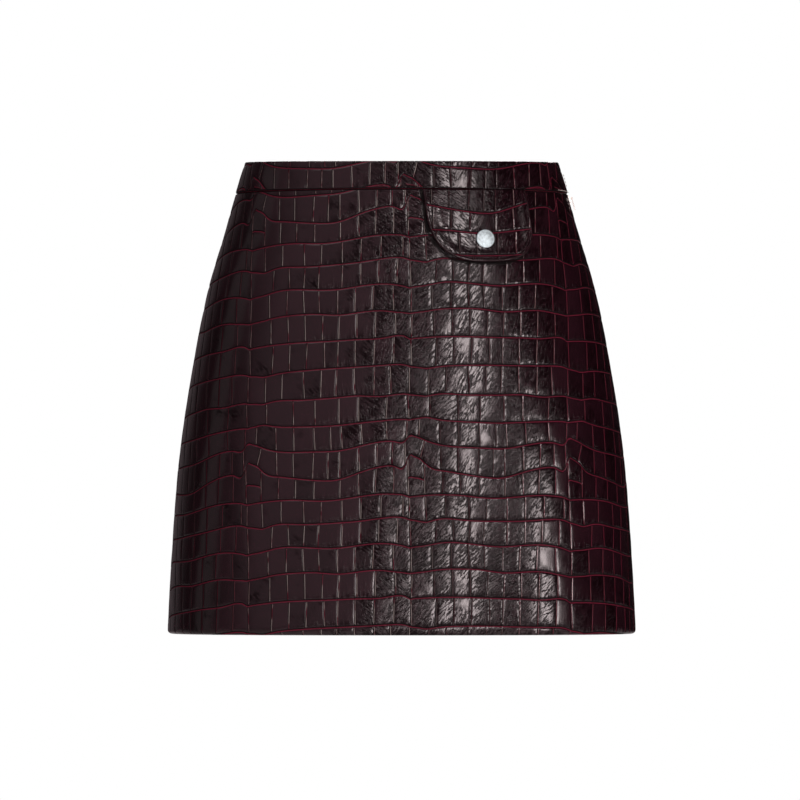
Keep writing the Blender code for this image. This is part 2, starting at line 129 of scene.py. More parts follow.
def smooth_curve(knots, values):
    """Natural cubic spline: between two knots the value follows a cubic whose bend is continuous."""
    knots, values = np.asarray(knots, float), np.asarray(values, float)
    spans = np.diff(knots)
    count = len(knots)
    system = np.eye(count)
    for row in range(1, count - 1):
        before, after = spans[row - 1 : row + 1]
        system[row, row - 1 : row + 2] = before, 2 * (before + after), after
    change = 6 * np.diff(np.diff(values) / spans)
    bends = np.linalg.solve(system, np.concatenate([[0], change, [0]]))

    def read(place):
        span = np.clip(np.searchsorted(knots, place) - 1, 0, count - 2)
        width = spans[span]
        after = (place - knots[span]) / width
        before = 1 - after
        straight = before * values[span] + after * values[span + 1]
        curved = (before**3 - before) * bends[span] + (after**3 - after) * bends[span + 1]
        return straight + curved * width**2 / 6

    return read


def read_sections():
    """Curves of the section table against the drop, one for each other column."""
    table = np.array(SECTIONS, float).T
    return {
        name: smooth_curve(table[0] * MM, column * (1.0 if name == "squareness" else MM))
        for name, column in zip(SECTION_COLUMNS[1:], table[1:])
    }


SECTION = read_sections()


def section_sizes(half, drop):
    """Half width, depth and squareness of the ring at a drop, read from the section curves."""
    return SECTION["half_width"](drop), SECTION[half + "_depth"](drop), SECTION["squareness"](drop)


def arc_tables(half, drop_count=213, share_count=801, samples=1201):
    """Arc of the half at evenly spaced drops, and the ring's angle at evenly spaced shares of it.

    The ring is a superellipse: across = half width times sine to the power 2/n, and deep = depth
    times cosine to the power 2/n. The arc is summed over small steps of the angle.
    """
    drops = np.linspace(0, LENGTH, drop_count)[:, None]
    angle = np.linspace(0, math.pi / 2, samples)[None, :]
    width, depth, squareness = section_sizes(half, drops)
    across = width * np.sin(angle) ** (2 / squareness)
    deep = depth * np.maximum(np.cos(angle), 0) ** (2 / squareness)
    run = np.hypot(np.diff(across, axis=1), np.diff(deep, axis=1)).cumsum(axis=1)
    run = np.hstack([np.zeros((drop_count, 1)), run])
    shares = np.linspace(0, 1, share_count)
    turned = np.array([np.interp(shares * row[-1], row, angle[0]) for row in run])
    return run[:, -1], turned


ARC_TABLES = {half: arc_tables(half) for half in ("front", "back")}


def half_arc(half, drop):
    """Length of cloth from a half's middle to its side seam, read between the drops of the table."""
    arcs = ARC_TABLES[half][0]
    return np.interp(drop, np.linspace(0, LENGTH, len(arcs)), arcs)


def ring_angle(half, share, drop):
    """Angle of the ring at a share of the arc and a drop, read between four entries of the table."""
    table = ARC_TABLES[half][1]
    down = np.clip(drop / LENGTH, 0, 1) * (table.shape[0] - 1)
    side = np.clip(np.abs(share), 0, 1) * (table.shape[1] - 1)
    row = np.minimum(down.astype(int), table.shape[0] - 2)
    column = np.minimum(side.astype(int), table.shape[1] - 2)
    down = down - row
    side = side - column
    upper = table[row, column] * (1 - side) + table[row, column + 1] * side
    lower = table[row + 1, column] * (1 - side) + table[row + 1, column + 1] * side
    return upper * (1 - down) + lower * down


def unit(vectors):
    """Vectors of length one: each divided by the root of its summed squares."""
    return vectors / np.linalg.norm(vectors, axis=-1, keepdims=True)


def outward(half, x, y, drop):
    """Unit normal of the worn form: the slope of the ring's equation at a point of it."""
    step = SLOPE_STEP

    def ring_value(at):
        width, depth, squareness = section_sizes(half, at)
        return np.abs(x / width) ** squareness + np.abs(y / depth) ** squareness

    width, depth, squareness = section_sizes(half, drop)
    slope_x = np.copysign(np.abs(x / width) ** (squareness - 1) / width, x)
    slope_y = np.copysign(np.abs(y / depth) ** (squareness - 1) / depth, y)
    slope_z = -(ring_value(drop + step) - ring_value(drop - step)) / (2 * step) / squareness
    return unit(np.stack([slope_x, slope_y, slope_z], axis=-1))


def cloth(half, arc, drop, out=0.0):
    """Points of the worn cloth: the ring's superellipse at each drop, moved out along its normal."""
    arc = np.asarray(arc, float)
    arc, drop, out = np.broadcast_arrays(arc, np.asarray(drop, float), np.asarray(out, float))
    angle = ring_angle(half, arc / half_arc(half, drop), drop)
    width, depth, squareness = section_sizes(half, drop)
    x = np.copysign(width * np.sin(angle) ** (2 / squareness), arc)
    y = depth * np.maximum(np.cos(angle), 0) ** (2 / squareness)
    if half == "front":
        y = -y
    place = np.stack([x, y, -drop], axis=-1)
    return place + outward(half, x, y, drop) * out[..., None]


def band_bottom(share):
    """Drop of the waist seam: the band's depth, plus a dip that grows as the share squared."""
    return BAND_DEPTH + BAND_SIDE_DIP * share**2


def seam_drop(half, arc):
    """Drop of the waist seam at an arc, taken as its share of the half's arc at the seam."""
    return band_bottom(arc / half_arc(half, BAND_DEPTH))


# Where each piece lies on the charted hide: the drop of its first line, how many lines it has, the
# arc at which a repeat starts, and how much its lines sag and tilt at the waist and at the hem.
# Each starts with the sixth line of the chart.
LAID_COLUMNS = ("first_drop", "lines", "front_start", "back_start", "sag", "tilt", "seed")
LAID = {
    "panel": (FIRST_ROW_LINE, ROW_LINES, 6.6 * MM, 61.0 * MM, LINE_SAG, LINE_TILT, 11),
    "band": (-18.4 * MM, 4, 0.3 * MM, -37.0 * MM, (3.5 * MM, 3.5 * MM), (0.0, 0.0), 23),
    "flap": (-4.2 * MM, 7, -2.0 * MM, 0.0, (3.0 * MM, 3.0 * MM), (0.0, 0.0), 37),
}
FIRST_CHART_LINE = 5
LAID = {name: dict(zip(LAID_COLUMNS, row)) for name, row in LAID.items()}

LEAN_LIMIT = 1.3 * MM
SLANTED = {(6, 1): -4.6 * MM}
LINE_GROOVE = 0.50 * MM
LINE_GROOVE_UNDER = 1.5 * MM
LINE_GROOVE_OVER = 2.6 * MM
UPRIGHT_GROOVE = 0.24 * MM
UPRIGHT_GROOVE_FLOOR = 0.1 * MM
UPRIGHT_GROOVE_REACH = 0.85 * MM
SCALE_CROWN = 0.16 * MM
SCALE_TILT = 0.88 * MM
SCALE_TILT_DOWN = 0.8
FIELD_REACH = 4 * MM

CROWN_IN = (3 * MM, 2 * MM)
REPEATS = np.arange(-6, 7)[:, None]
LEAN_SEED = 70
MOST_SCALES = 200
SPLIT_WRAP = 20
HEM_TUCK = 2.6 * MM
HEM_TUCK_REACH = 4.5 * MM
HEM_TUCK_ROUNDNESS = 0.98

# Soft creases of the worn leather, in millimetres and degrees
FOLD_COLUMNS = ("half", "arc", "drop", "along", "across", "depth", "turn")
SOFT_FOLDS = (
    ("front", -30, 62, 70, 11, -0.9, 12), ("front", -48, 44, 55, 9, 0.8, 8),
    ("front", -55, 160, 62, 12, -0.9, -6), ("front", -42, 143, 55, 10, 0.8, -3),
    ("front", 40, 150, 45, 14, 0.7, 24), ("front", 20, 245, 30, 20, -0.6, 60),
    ("front", -95, 290, 26, 90, -0.8, 4), ("front", -20, 330, 20, 95, 0.7, -3),
    ("front", 62, 330, 24, 110, 0.6, 2), ("front", 135, 210, 26, 100, -0.9, -4),
    ("front", -170, 200, 24, 110, 0.7, 6), ("front", 190, 90, 60, 12, -0.6, -14),
    ("back", -60, 70, 80, 13, -0.9, 8), ("back", 75, 84, 75, 12, -0.8, -9),
    ("back", 0, 130, 110, 18, 0.9, 0), ("back", 110, 240, 26, 100, -0.8, 3),
    ("back", -30, 300, 24, 110, 0.8, -4), ("back", -140, 230, 26, 110, -0.8, -3),
    ("back", 190, 320, 22, 90, 0.7, 5), ("back", -215, 120, 55, 13, -0.6, 12),
)


def ease(value, low, high):
    """Smooth step: 0 below low, 1 above high, and 3t^2 - 2t^3 between."""
    share = np.clip((value - low) / (high - low), 0, 1)
    return share * share * (3 - 2 * share)


def chart_index(line):
    """Line or row of the chart that a line or row of a piece takes."""
    return (line + FIRST_CHART_LINE) % len(ROW_HEIGHTS)


def chart_curves():
    """Rise of each charted line against the units along a repeat, closed on itself."""
    around = np.concatenate([np.array(CHART_STATIONS) + turn * CHART_UNITS for turn in (-1, 0, 1)])
    return [smooth_curve(around, np.tile(rises, 3)) for rises in CHART_LINES]


CHART_CURVES = chart_curves()


def line_drop(laid, half, line, arc):
    """Drop of a line between rows: its row heights, sag and tilt, and the charted rise."""
    piece = LAID[laid]
    heights = sum(ROW_HEIGHTS[chart_index(above)] for above in range(line))
    middle = piece["first_drop"] + heights * MM
    share = arc / half_arc(half, np.clip(middle, 0, LENGTH))
    down = middle / LENGTH
    sag = piece["sag"][0] + (piece["sag"][1] - piece["sag"][0]) * down
    tilt = piece["tilt"][0] + (piece["tilt"][1] - piece["tilt"][0]) * down
    lean = 1 if half == "front" else -1
    units = np.mod((arc - piece[half + "_start"]) / CHART_UNIT, CHART_UNITS)
    rise = CHART_CURVES[chart_index(line)](units) * CHART_RISE_UNIT
    return middle + sag * share**2 - lean * tilt * share + rise


def row_uprights(laid, half, row):
    """Arcs of a row's upright grooves over all its repeats, and how far each leans down its row."""
    charted = chart_index(row)
    units = np.array(CHART_UPRIGHTS[charted], float)
    leans = np.random.default_rng(LEAN_SEED + charted).uniform(-LEAN_LIMIT, LEAN_LIMIT, len(units))
    for (slanted_row, groove), lean in SLANTED.items():
        if slanted_row == charted:
            leans[groove] = lean
    arcs = LAID[laid][half + "_start"] + (units + REPEATS * CHART_UNITS).ravel() * CHART_UNIT
    return arcs, np.tile(leans, len(REPEATS))


def emboss(laid, half, arc, drop):
    """Where points lie in their scales: signed distances to the nearest line and upright groove,
    shares down and across the scale, and three random numbers that belong to the scale."""
    lines = np.array([line_drop(laid, half, line, arc) for line in range(LAID[laid]["lines"])])
    row = np.clip((drop >= lines).sum(axis=0) - 1, 0, len(lines) - 2)
    upper = np.take_along_axis(lines, row[None], 0)[0]
    lower = np.take_along_axis(lines, row[None] + 1, 0)[0]
    below = drop - upper
    above = lower - drop
    from_line = np.where(np.abs(below) < np.abs(above), below, -above)
    down = np.clip(below / (lower - upper), 0, 1)
    from_upright = np.empty_like(arc)
    across = np.empty_like(arc)
    draws = np.empty(arc.shape + (3,))
    table = np.random.default_rng(LAID[laid]["seed"]).random((len(lines), MOST_SCALES, 3))
    for each in range(len(lines) - 1):
        chosen = row == each
        centres, leans = row_uprights(laid, half, each)
        level = arc[chosen] - np.interp(arc[chosen], centres, leans) * (down[chosen] - 0.5)
        after = np.searchsorted(centres, level)
        left = level - centres[after - 1]
        right = centres[after] - level
        from_upright[chosen] = np.where(left < right, left, -right)
        across[chosen] = left / (left + right)
        draws[chosen] = table[each, after]
        if chart_index(each) == SPLIT_SCALE_ROW:
            units = (level - LAID[laid][half + "_start"]) / CHART_UNIT
            units = np.mod(units + SPLIT_WRAP, CHART_UNITS) - SPLIT_WRAP
            split = (units > SPLIT_SCALE_UNITS[0]) & (units < SPLIT_SCALE_UNITS[1])
            cross = (down[chosen] - SPLIT_SCALE_SHARE) * (lower - upper)[chosen]
            nearer = split & (np.abs(cross) < np.abs(from_line[chosen]))
            from_line[chosen] = np.where(nearer, cross, from_line[chosen])
    return from_line, from_upright, down, across, draws


def soft_folds(half, arc, drop):
    """Low relief of the worn leather: each fold is its depth times exp(-a^2 - b^2), with a along
    it and b across it, and the hem rounds inwards as a quarter of an ellipse."""
    relief = np.zeros_like(arc)
    for row in SOFT_FOLDS:
        fold = dict(zip(FOLD_COLUMNS, row))
        if fold["half"] != half:
            continue
        turn = math.radians(fold["turn"])
        side = arc - fold["arc"] * MM
        down = drop - fold["drop"] * MM
        along = (side * math.cos(turn) - down * math.sin(turn)) / (fold["along"] * MM)
        across = (side * math.sin(turn) + down * math.cos(turn)) / (fold["across"] * MM)
        relief += fold["depth"] * MM * np.exp(-(along**2) - across**2)
    tucked = np.clip((drop - LENGTH + HEM_TUCK_REACH) / HEM_TUCK_REACH, 0, 1)
    return relief - HEM_TUCK * (1 - np.sqrt(1 - HEM_TUCK_ROUNDNESS * tucked**2))


def scale_relief(from_line, from_upright, down, across, draws):
    """Height of the emboss: the deeper of the two grooves, on a scale that is crowned and tilted."""
    under = 1 - ease(from_line, 0, LINE_GROOVE_UNDER)
    over = 1 - ease(-from_line, 0, LINE_GROOVE_OVER)
    line = LINE_GROOVE * np.where(from_line > 0, under, over)
    beside = ease(np.abs(from_upright), UPRIGHT_GROOVE_FLOOR, UPRIGHT_GROOVE_REACH)
    upright = UPRIGHT_GROOVE * (1 - beside)
    inside = ease(np.abs(from_line), 0, CROWN_IN[0]) * ease(np.abs(from_upright), 0, CROWN_IN[1])
    crown = SCALE_CROWN * (1 - (2 * down - 1) ** 2) * (1 - (2 * across - 1) ** 2)
    tilt = (draws[..., 0] - 0.5) * (across - 0.5)
    tilt = tilt + SCALE_TILT_DOWN * (draws[..., 1] - 0.5) * (down - 0.5)
    return inside * (crown + SCALE_TILT * tilt) - np.maximum(line, upright)


def grid_quads(grid):
    """Quads between the rows and columns of a grid of point numbers."""
    quads = [grid[:-1, :-1], grid[1:, :-1], grid[1:, 1:], grid[:-1, 1:]]
    return np.stack(quads, axis=-1).reshape(-1, 4)


def ring_quads(numbers):
    """Quads round closed rings of point numbers: the last two axes are the ring and the place on it."""
    turned = np.roll(numbers, -1, axis=-1)
    quads = [numbers[..., :-1, :], turned[..., :-1, :], turned[..., 1:, :], numbers[..., 1:, :]]
    return np.stack(quads, axis=-1).reshape(-1, 4)


def new_piece(name, points, groups, smooth=True):
    """Mesh object in the scene, of points and groups of faces, each an array of point numbers."""
    mesh = bpy.data.meshes.new(name)
    faces = [tuple(face) for group in groups for face in group.tolist()]
    mesh.from_pydata(points.reshape(-1, 3).tolist(), [], faces)
    if smooth:
        mesh.shade_smooth()
    made = bpy.data.objects.new(name, mesh)
    bpy.context.scene.collection.objects.link(made)
    return made


class Shell:
    """Points, faces and surface values of a leather piece while it is put together.

    Each point has an arc and a drop on its half of the cloth, and a distance out of it.
    """

    def __init__(self, half, laid, base):
        self.half = half
        self.laid = laid
        self.base = base
        self.arcs = []
        self.drops = []
        self.outs = []
        self.faces = []
        self.fleshy = []
        self.count = 0

    def add_points(self, arc, drop, out, flesh=False):
        """Adds an array of points and returns their numbers in the same shape."""
        arc, drop, out = np.broadcast_arrays(arc, drop, out)
        numbers = np.arange(arc.size).reshape(arc.shape) + self.count
        self.arcs.append(arc.ravel())
        self.drops.append(drop.ravel())
        self.outs.append(out.ravel())
        self.fleshy.append(np.full(arc.size, float(flesh)))
        self.count += arc.size
        return numbers

    def add_quads(self, grid, flip=False):
        """Adds the quads of a grid of point numbers."""
        quads = grid_quads(grid)
        self.faces.append(quads[:, ::-1] if flip else quads)

    def add_zipper(self, one, other, one_keys, other_keys, flip=False):
        """Adds triangles between two lines of points that run the same way in unlike steps.

        Each step of either line is placed by the middle of its keys, and its triangle reaches to
        the point at which the other line then stands.
        """
        one_steps = (one_keys[:-1] + one_keys[1:]) / 2
        other_steps = (other_keys[:-1] + other_keys[1:]) / 2
        facing = other[np.searchsorted(other_steps, one_steps, side="left")]
        first = np.stack([one[:-1], facing, one[1:]], axis=-1)
        facing = one[np.searchsorted(one_steps, other_steps, side="right")]
        second = np.stack([facing, other[:-1], other[1:]], axis=-1)
        faces = np.concatenate([first, second])
        self.faces.append(faces[:, ::-1] if flip else faces)

    def make(self, name):
        """Mesh object of the shell, its points placed on the worn cloth and its faces outwards."""
        arc = np.concatenate(self.arcs)
        drop = np.concatenate(self.drops)
        flesh = np.concatenate(self.fleshy)
        scale = list(emboss(self.laid, self.half, arc, drop))
        # Along the waist seam the points read as lying just above a line: a groove is sunk there, and
        # it is coloured black as painted shade
        seam = np.abs(drop - seam_drop(self.half, arc))
        scale[0] = np.where(seam < SEAM_SHADOW, -seam, scale[0])
        relief = scale_relief(*scale) * (1 - flesh) + soft_folds(self.half, arc, drop)
        places = cloth(self.half, arc, drop, np.concatenate(self.outs) + relief)
        faces = [group[:, ::-1] for group in self.faces] if self.half == "back" else self.faces
        made = new_piece(name, places, faces)
        # The front panel carries its distance to the pocket flap's painted shadow
        flap_shadow = painted_flap_shadow(arc, drop) if (self.half, self.laid) == ("front", "panel") else None
        write_scale_values(made.data, arc, drop, flesh, scale, flap_shadow)
        return made


def write_scale_values(mesh, arc, drop, flesh, scale, flap_shadow=None):
    """Puts the distances to the grooves, the scale's own tone and the flat cut on a mesh, and the
    distance to the painted shadow that another piece casts on it, where one is given."""
    line, upright = (np.clip(part, -FIELD_REACH, FIELD_REACH) / MM for part in scale[:2])
    draws = scale[4]
    values = {
        "line_groove": np.stack([line, np.abs(line), flesh], axis=-1),
        "upright_groove": np.stack([upright, np.abs(upright), draws[..., 2]], axis=-1),
    }
    for name, value in values.items():
        layer = mesh.attributes.new(name, "FLOAT_VECTOR", "POINT")
        layer.data.foreach_set("vector", value.astype(np.float32).ravel())
    flap_shadow = np.full(arc.shape, FIELD_REACH) if flap_shadow is None else flap_shadow
    layer = mesh.attributes.new("crease_distance", "FLOAT", "POINT")
    layer.data.foreach_set("value", (flap_shadow / MM).astype(np.float32).ravel())
    corners = np.empty(len(mesh.loops), np.int32)
    mesh.loops.foreach_get("vertex_index", corners)
    flat = np.stack([arc, -drop], axis=-1)[corners]
    mesh.uv_layers.new(name="flat").data.foreach_set("uv", flat.astype(np.float32).ravel())


# Reach of the groove and painted shade along the waist seam
SEAM_SHADOW = 1.25 * MM
GROOVE_LEVELS = np.array([0.15, 0.45, 0.9, 1.5, 2.6]) * MM
UPRIGHT_COLUMNS = np.array([-1.2, -0.55, -0.2, 0.2, 0.55, 1.2]) * MM
INNER_COLUMNS = (0.2, 0.4, 0.6, 0.8)
INNER_LEVELS = (0.25, 0.5, 0.75)
LEVEL_CROWDING = 0.03 * MM
END_CLEARANCE = 2.5 * MM
END_TURNS = 4
END_SHARES = np.array([0, 1, 2]) / 3
INSIDE_COLUMNS = 90
SEAM_CLOSING = SEAM_GAP / 2 + 0.03 * MM


def row_columns(laid, half, row):
    """Arcs at which a row of scales has its columns, and the lean of each."""
    centres, leans = row_uprights(laid, half, row)
    beside = (centres[:, None] + UPRIGHT_COLUMNS[None, :]).ravel()
    widths = np.diff(centres)
    inside = (centres[:-1, None] + widths[:, None] * np.array(INNER_COLUMNS)[None, :]).ravel()
    columns = np.sort(np.concatenate([beside, inside]))
    return columns, np.interp(columns, centres, leans)


def row_recipe(row):
    """Levels of a row from its upper line to its lower one: the share of the height at which each
    lies, and a distance added to it. They crowd at both lines and at a split scale's groove."""
    reach = GROOVE_LEVELS[-1]
    middle = [(share, reach * (1 - 2 * share)) for share in INNER_LEVELS]
    if chart_index(row) == SPLIT_SCALE_ROW:
        near = [(SPLIT_SCALE_SHARE, step) for step in GROOVE_LEVELS[:-1]]
        middle = [middle[0], *[(share, -step) for share, step in near[::-1]], *near, middle[-1]]
    recipe = [(0.0, step) for step in GROOVE_LEVELS] + middle
    recipe += [(1.0, -step) for step in GROOVE_LEVELS[::-1]]
    shares, steps = np.array(recipe).T
    return shares[:, None], steps[:, None]


def row_sides(shell, ends, row):
    """Arcs between which a row keeps its columns, a little inside its ends. The ends are taken at
    the drops at which the row's two lines meet them, found in a few turns from the middle."""
    low_arcs, high_arcs = np.zeros(2), np.zeros(2)
    for _ in range(END_TURNS):
        low_drops, high_drops = [
            np.array([line_drop(shell.laid, shell.half, row + turn, arcs)[turn] for turn in (0, 1)])
            for arcs in (low_arcs, high_arcs)
        ]
        low_arcs = ends(row, np.clip(low_drops, 0, LENGTH))[0]
        high_arcs = ends(row, np.clip(high_drops, 0, LENGTH))[1]
    return low_arcs.max() + END_CLEARANCE, high_arcs.min() - END_CLEARANCE


def add_scale_rows(shell, ends, top, bottom):
    """Outer face of a piece: for each row of scales a grid of its own, whose columns follow the
    row's upright grooves and whose levels follow its two lines, zipped to the next row."""
    half = shell.half
    rows = range(LAID[shell.laid]["lines"] - 1)
    recipes = [row_recipe(row) for row in rows]
    total = sum(len(shares) for shares, steps in recipes)
    order = 0
    edges = {"low": [], "high": []}
    lines = []
    for row, (shares, steps) in zip(rows, recipes):
        height = ROW_HEIGHTS[chart_index(row)] * MM
        low, high = row_sides(shell, ends, row)
        columns, leans = row_columns(shell.laid, half, row)
        kept = (columns > low) & (columns < high)
        cells = len(END_SHARES)
        columns = np.concatenate([np.full(cells, low), columns[kept], np.full(cells, high)])
        leans = np.concatenate([np.zeros(cells), leans[kept], np.zeros(cells)])
        arcs = columns[None, :] + leans[None, :] * (shares + steps / height - 0.5)
        numbers = order + np.arange(len(shares))[:, None]
        for _ in range(END_TURNS):
            upper = line_drop(shell.laid, half, row, arcs)
            lower = line_drop(shell.laid, half, row + 1, arcs)
            drops = upper * (1 - shares) + lower * shares + steps
            drops = np.maximum(drops, top(arcs) + numbers * LEVEL_CROWDING)
            drops = np.minimum(drops, bottom(arcs) - (total - numbers) * LEVEL_CROWDING)
            low, high = ends(row, drops[:, :1])[0], ends(row, drops[:, -1:])[1]
            arcs[:, :cells] = low + (arcs[:, cells, None] - low) * END_SHARES
            arcs[:, -cells:] = high + (arcs[:, -cells - 1, None] - high) * END_SHARES[::-1]
        points = shell.add_points(arcs, drops, shell.base)
        shell.add_quads(points)
        if lines:
            shell.add_zipper(lines[-1][0], points[0], lines[-1][1], arcs[0])
        lines += [(points[0], arcs[0], drops[0]), (points[-1], arcs[-1], drops[-1])]
        for side, column in (("low", 0), ("high", -1)):
            edges[side].append(np.stack([points[:, column], drops[:, column]]))
        order += len(shares)
    edges = {side: np.concatenate(found, axis=1) for side, found in edges.items()}
    return lines[0], lines[-1], edges


def add_roll(shell, line, outs, downs, flip=False):
    """Rolled edge that carries on from a line of points: each step of it has a distance out and a
    drop beyond the line. Returns its last line."""
    points, arcs, drops = line
    added = shell.add_points(arcs[None, :], drops[None, :] + downs[:, None], outs[:, None])
    shell.add_quads(np.concatenate([points[None, :], added]), flip)
    return added[-1], arcs, drops + downs[-1]


def half_turn(base, radius, steps, way):
    """Distances out and drops round a half turn: base - r + r cos a, and way r sin a."""
    angle = np.linspace(0, math.pi, steps + 1)[1:]
    return base - radius + radius * np.cos(angle), way * radius * np.sin(angle)


def add_inside(shell, upper, lower, edges, ends, rings):
    """Plain flesh side: rings of given drops and distances out, from the upper edge's line down to
    the lower edge's, zipped to both and to the two sides of the outer face."""
    arcs, drops, outs = [], [], []
    crossing = np.linspace(0, 1, INSIDE_COLUMNS)
    for row, ring_drop, out in rings:
        drop = ring_drop(crossing)
        low, high = ends(row, drop)
        low, high = low - SEAM_CLOSING, high + SEAM_CLOSING
        arcs.append(low * (1 - crossing) + high * crossing)
        drops.append(drop)
        outs.append(np.full(INSIDE_COLUMNS, out))
    arcs = np.array(arcs)
    drops = np.array(drops)
    points = shell.add_points(arcs, drops, np.array(outs), flesh=True)
    shell.add_quads(points, flip=True)
    shell.add_zipper(upper[0], points[0], upper[1], arcs[0], flip=True)
    shell.add_zipper(lower[0], points[-1], lower[1], arcs[-1])
    for side, column, flip in (("low", 0, False), ("high", -1, True)):
        numbers, outer_drops = edges[side]
        numbers = numbers.astype(int)
        shell.add_zipper(numbers, points[:, column], outer_drops, drops[:, column], flip)


def panel_ends(half):
    """Arcs of a panel's two side edges, at a row and a drop: the zip's slot opens the left seam."""

    def ends(row, drop):
        arc = half_arc(half, drop)
        slot = ZIP_SLOT_HALF_WIDTH if row < ZIP_ROWS else SEAM_GAP / 2
        return -arc + SEAM_GAP / 2, arc - slot

    return ends


PANEL_TOP_ROLL = 0.85 * MM
HEM_ROLL = 1.45 * MM
ROLL_STEPS = 6
PANEL_INNER_SHARES = np.linspace(0.02, 1, 22)
HEM_TURN_ROUND = 0.2 * MM
HEM_RINGS = (0.35, 0.7, 0.98)


def build_panel(half):
    """Front or back panel: rows of scales outside, its upper edge rolled under the waistband, the
    hem turned up inside, and the plain flesh side, all one closed skin."""
    shell = Shell(half, "panel", 0.0)
    ends = panel_ends(half)
    above, below, edges = add_scale_rows(
        shell,
        ends,
        lambda arc: seam_drop(half, arc) + SEAM_GAP + PANEL_TOP_ROLL,
        lambda arc: np.full_like(arc, LENGTH - HEM_ROLL),
    )
    top_line = add_roll(shell, above, *half_turn(0.0, PANEL_TOP_ROLL, ROLL_STEPS, -1), flip=True)
    hem_line = add_roll(shell, below, *half_turn(0.0, HEM_ROLL, ROLL_STEPS, 1))
    turned = PANEL_LEATHER + HEM_TURN_LEATHER
    turn_top = LENGTH - HEM_TURN_DEPTH
    seam = SEAM_GAP + PANEL_TOP_ROLL
    arc = half_arc(half, BAND_DEPTH)
    slot_foot = line_drop("panel", half, ZIP_ROWS, np.array([arc]))[0]
    rings = []
    for share in PANEL_INNER_SHARES:
        row = 0 if share < slot_foot / turn_top else ZIP_ROWS
        last = turn_top - 6 * HEM_TURN_ROUND
        rings.append((row, ring_between(seam, last, share), -PANEL_LEATHER))
    levels = [
        (turn_top - 2 * HEM_TURN_ROUND, -PANEL_LEATHER - HEM_TURN_ROUND),
        (turn_top, -turned + HEM_TURN_ROUND),
        (turn_top + 3 * HEM_TURN_ROUND, -turned),
    ]
    levels += [(turn_top + (LENGTH - HEM_ROLL - turn_top) * share, -turned) for share in HEM_RINGS]
    rings += [(ZIP_ROWS, level_ring(drop), out) for drop, out in levels]
    add_inside(shell, top_line, hem_line, edges, ends, rings)
    return shell.make(half + "_panel_leather")


def level_ring(level):
    """Drop of an inner ring that lies level."""

    def drop(crossing):
        return np.full_like(crossing, level)

    return drop


def ring_between(below_seam, lowest, share):
    """Drop of an inner ring: the waist seam's drop, plus a share of the way to a level drop."""

    def drop(crossing):
        seam = band_bottom(2 * crossing - 1) + below_seam
        return seam + (lowest - seam) * share

    return drop


def band_ends(half):
    """Arcs of a waistband half's two ends, half a seam's gap short of the side seams."""

    def ends(row, drop):
        arc = half_arc(half, drop) - SEAM_GAP / 2
        return -arc, arc

    return ends


BAND_FOLD_RADIUS = BAND_THICKNESS / 2
BAND_FOLD_STEPS = 8
BAND_FOOT_ROLL = 0.7 * MM
BAND_FOOT_STEPS = 4
BAND_INNER_SHARES = np.linspace(0.04, 1, 6)


def build_waistband(half):
    """Half of the waistband: scales outside, a half turn over the top edge, a quarter turn at the
    foot, and plain inside."""
    shell = Shell(half, "band", BAND_PROUD)
    ends = band_ends(half)
    above, below, edges = add_scale_rows(
        shell,
        ends,
        lambda arc: np.full_like(arc, BAND_FOLD_RADIUS),
        lambda arc: seam_drop(half, arc) - BAND_FOOT_ROLL,
    )
    fold = half_turn(BAND_PROUD, BAND_FOLD_RADIUS, BAND_FOLD_STEPS, -1)
    top_line = add_roll(shell, above, *fold, flip=True)
    angle = np.linspace(0, math.pi / 2, BAND_FOOT_STEPS + 1)[1:]
    foot = (BAND_PROUD - BAND_FOOT_ROLL * (1 - np.cos(angle)), BAND_FOOT_ROLL * np.sin(angle))
    foot_line = add_roll(shell, below, *foot)
    inside = BAND_PROUD - BAND_THICKNESS
    rings = [
        (0, ring_between(0.0, BAND_FOLD_RADIUS, 1 - share), inside) for share in BAND_INNER_SHARES
    ]
    add_inside(shell, top_line, foot_line, edges, ends, rings)
    return shell.make("waistband_" + half + "_leather")


FLAP_HALF_WIDTH = 47.3 * MM
FLAP_MIDDLE = 66.0 * MM
FLAP_CORNERS = {
    "left": (18.0 * MM, 47.0 * MM, 2.60),
    "right": (35.5 * MM, 29.5 * MM, 2.75),
}
FLAP_LIFT = 0.4 * MM
FLAP_LEATHER = 2.5 * MM
FLAP_EDGE_RADIUS = 1.0 * MM
FLAP_EDGE_STEPS = 5
FLAP_COLUMNS = 200
FLAP_ROWS = 150
TOPSTITCH_INSET = 3.0 * MM
TOPSTITCH_GROOVE = 0.18 * MM
TOPSTITCH_WIDTH = 1.3 * MM
FLAP_EMBOSS_FADE = (0.6 * MM, 2.4 * MM)
TURNED_EDGE_FADE = (0.9 * MM, 2.0 * MM)
TURNED_EDGE_DULLNESS = 0.45
# Shift of the flap's painted shadow from its edge: to the wearer's right and down, away from the lights
FLAP_SHADOW_SHIFT = (-1.3 * MM, 1.1 * MM)
FLAP_CURL = 2.2 * MM
FLAP_CURL_REACH = 13 * MM
FLAP_CURL_START = 18 * MM
FLAP_TOP = BAND_DEPTH + BAND_SIDE_DIP * (FLAP_MIDDLE / float(half_arc("front", BAND_DEPTH))) ** 2


def flap_depth(across):
    """Depth of the flap at shares of its half width: straight sides, a superellipse below."""
    corners = zip(FLAP_CORNERS["left"], FLAP_CORNERS["right"])
    straight, rounded, power = (np.where(across < 0, left, right) for left, right in corners)
    return straight + rounded * np.maximum(0, 1 - np.abs(across) ** power) ** (1 / power)


def flap_places(across, down, inset):
    """Arc and drop of points of the flap: its middle, which follows the cloth's widening, plus the
    share across of its half width, and its top plus the share down of its depth there."""
    drop = FLAP_TOP + 2 * SEAM_GAP + inset + down * (flap_depth(across) - 2 * inset)
    middle = FLAP_MIDDLE * half_arc("front", drop) / half_arc("front", BAND_DEPTH)
    return middle + across * (FLAP_HALF_WIDTH - inset), drop


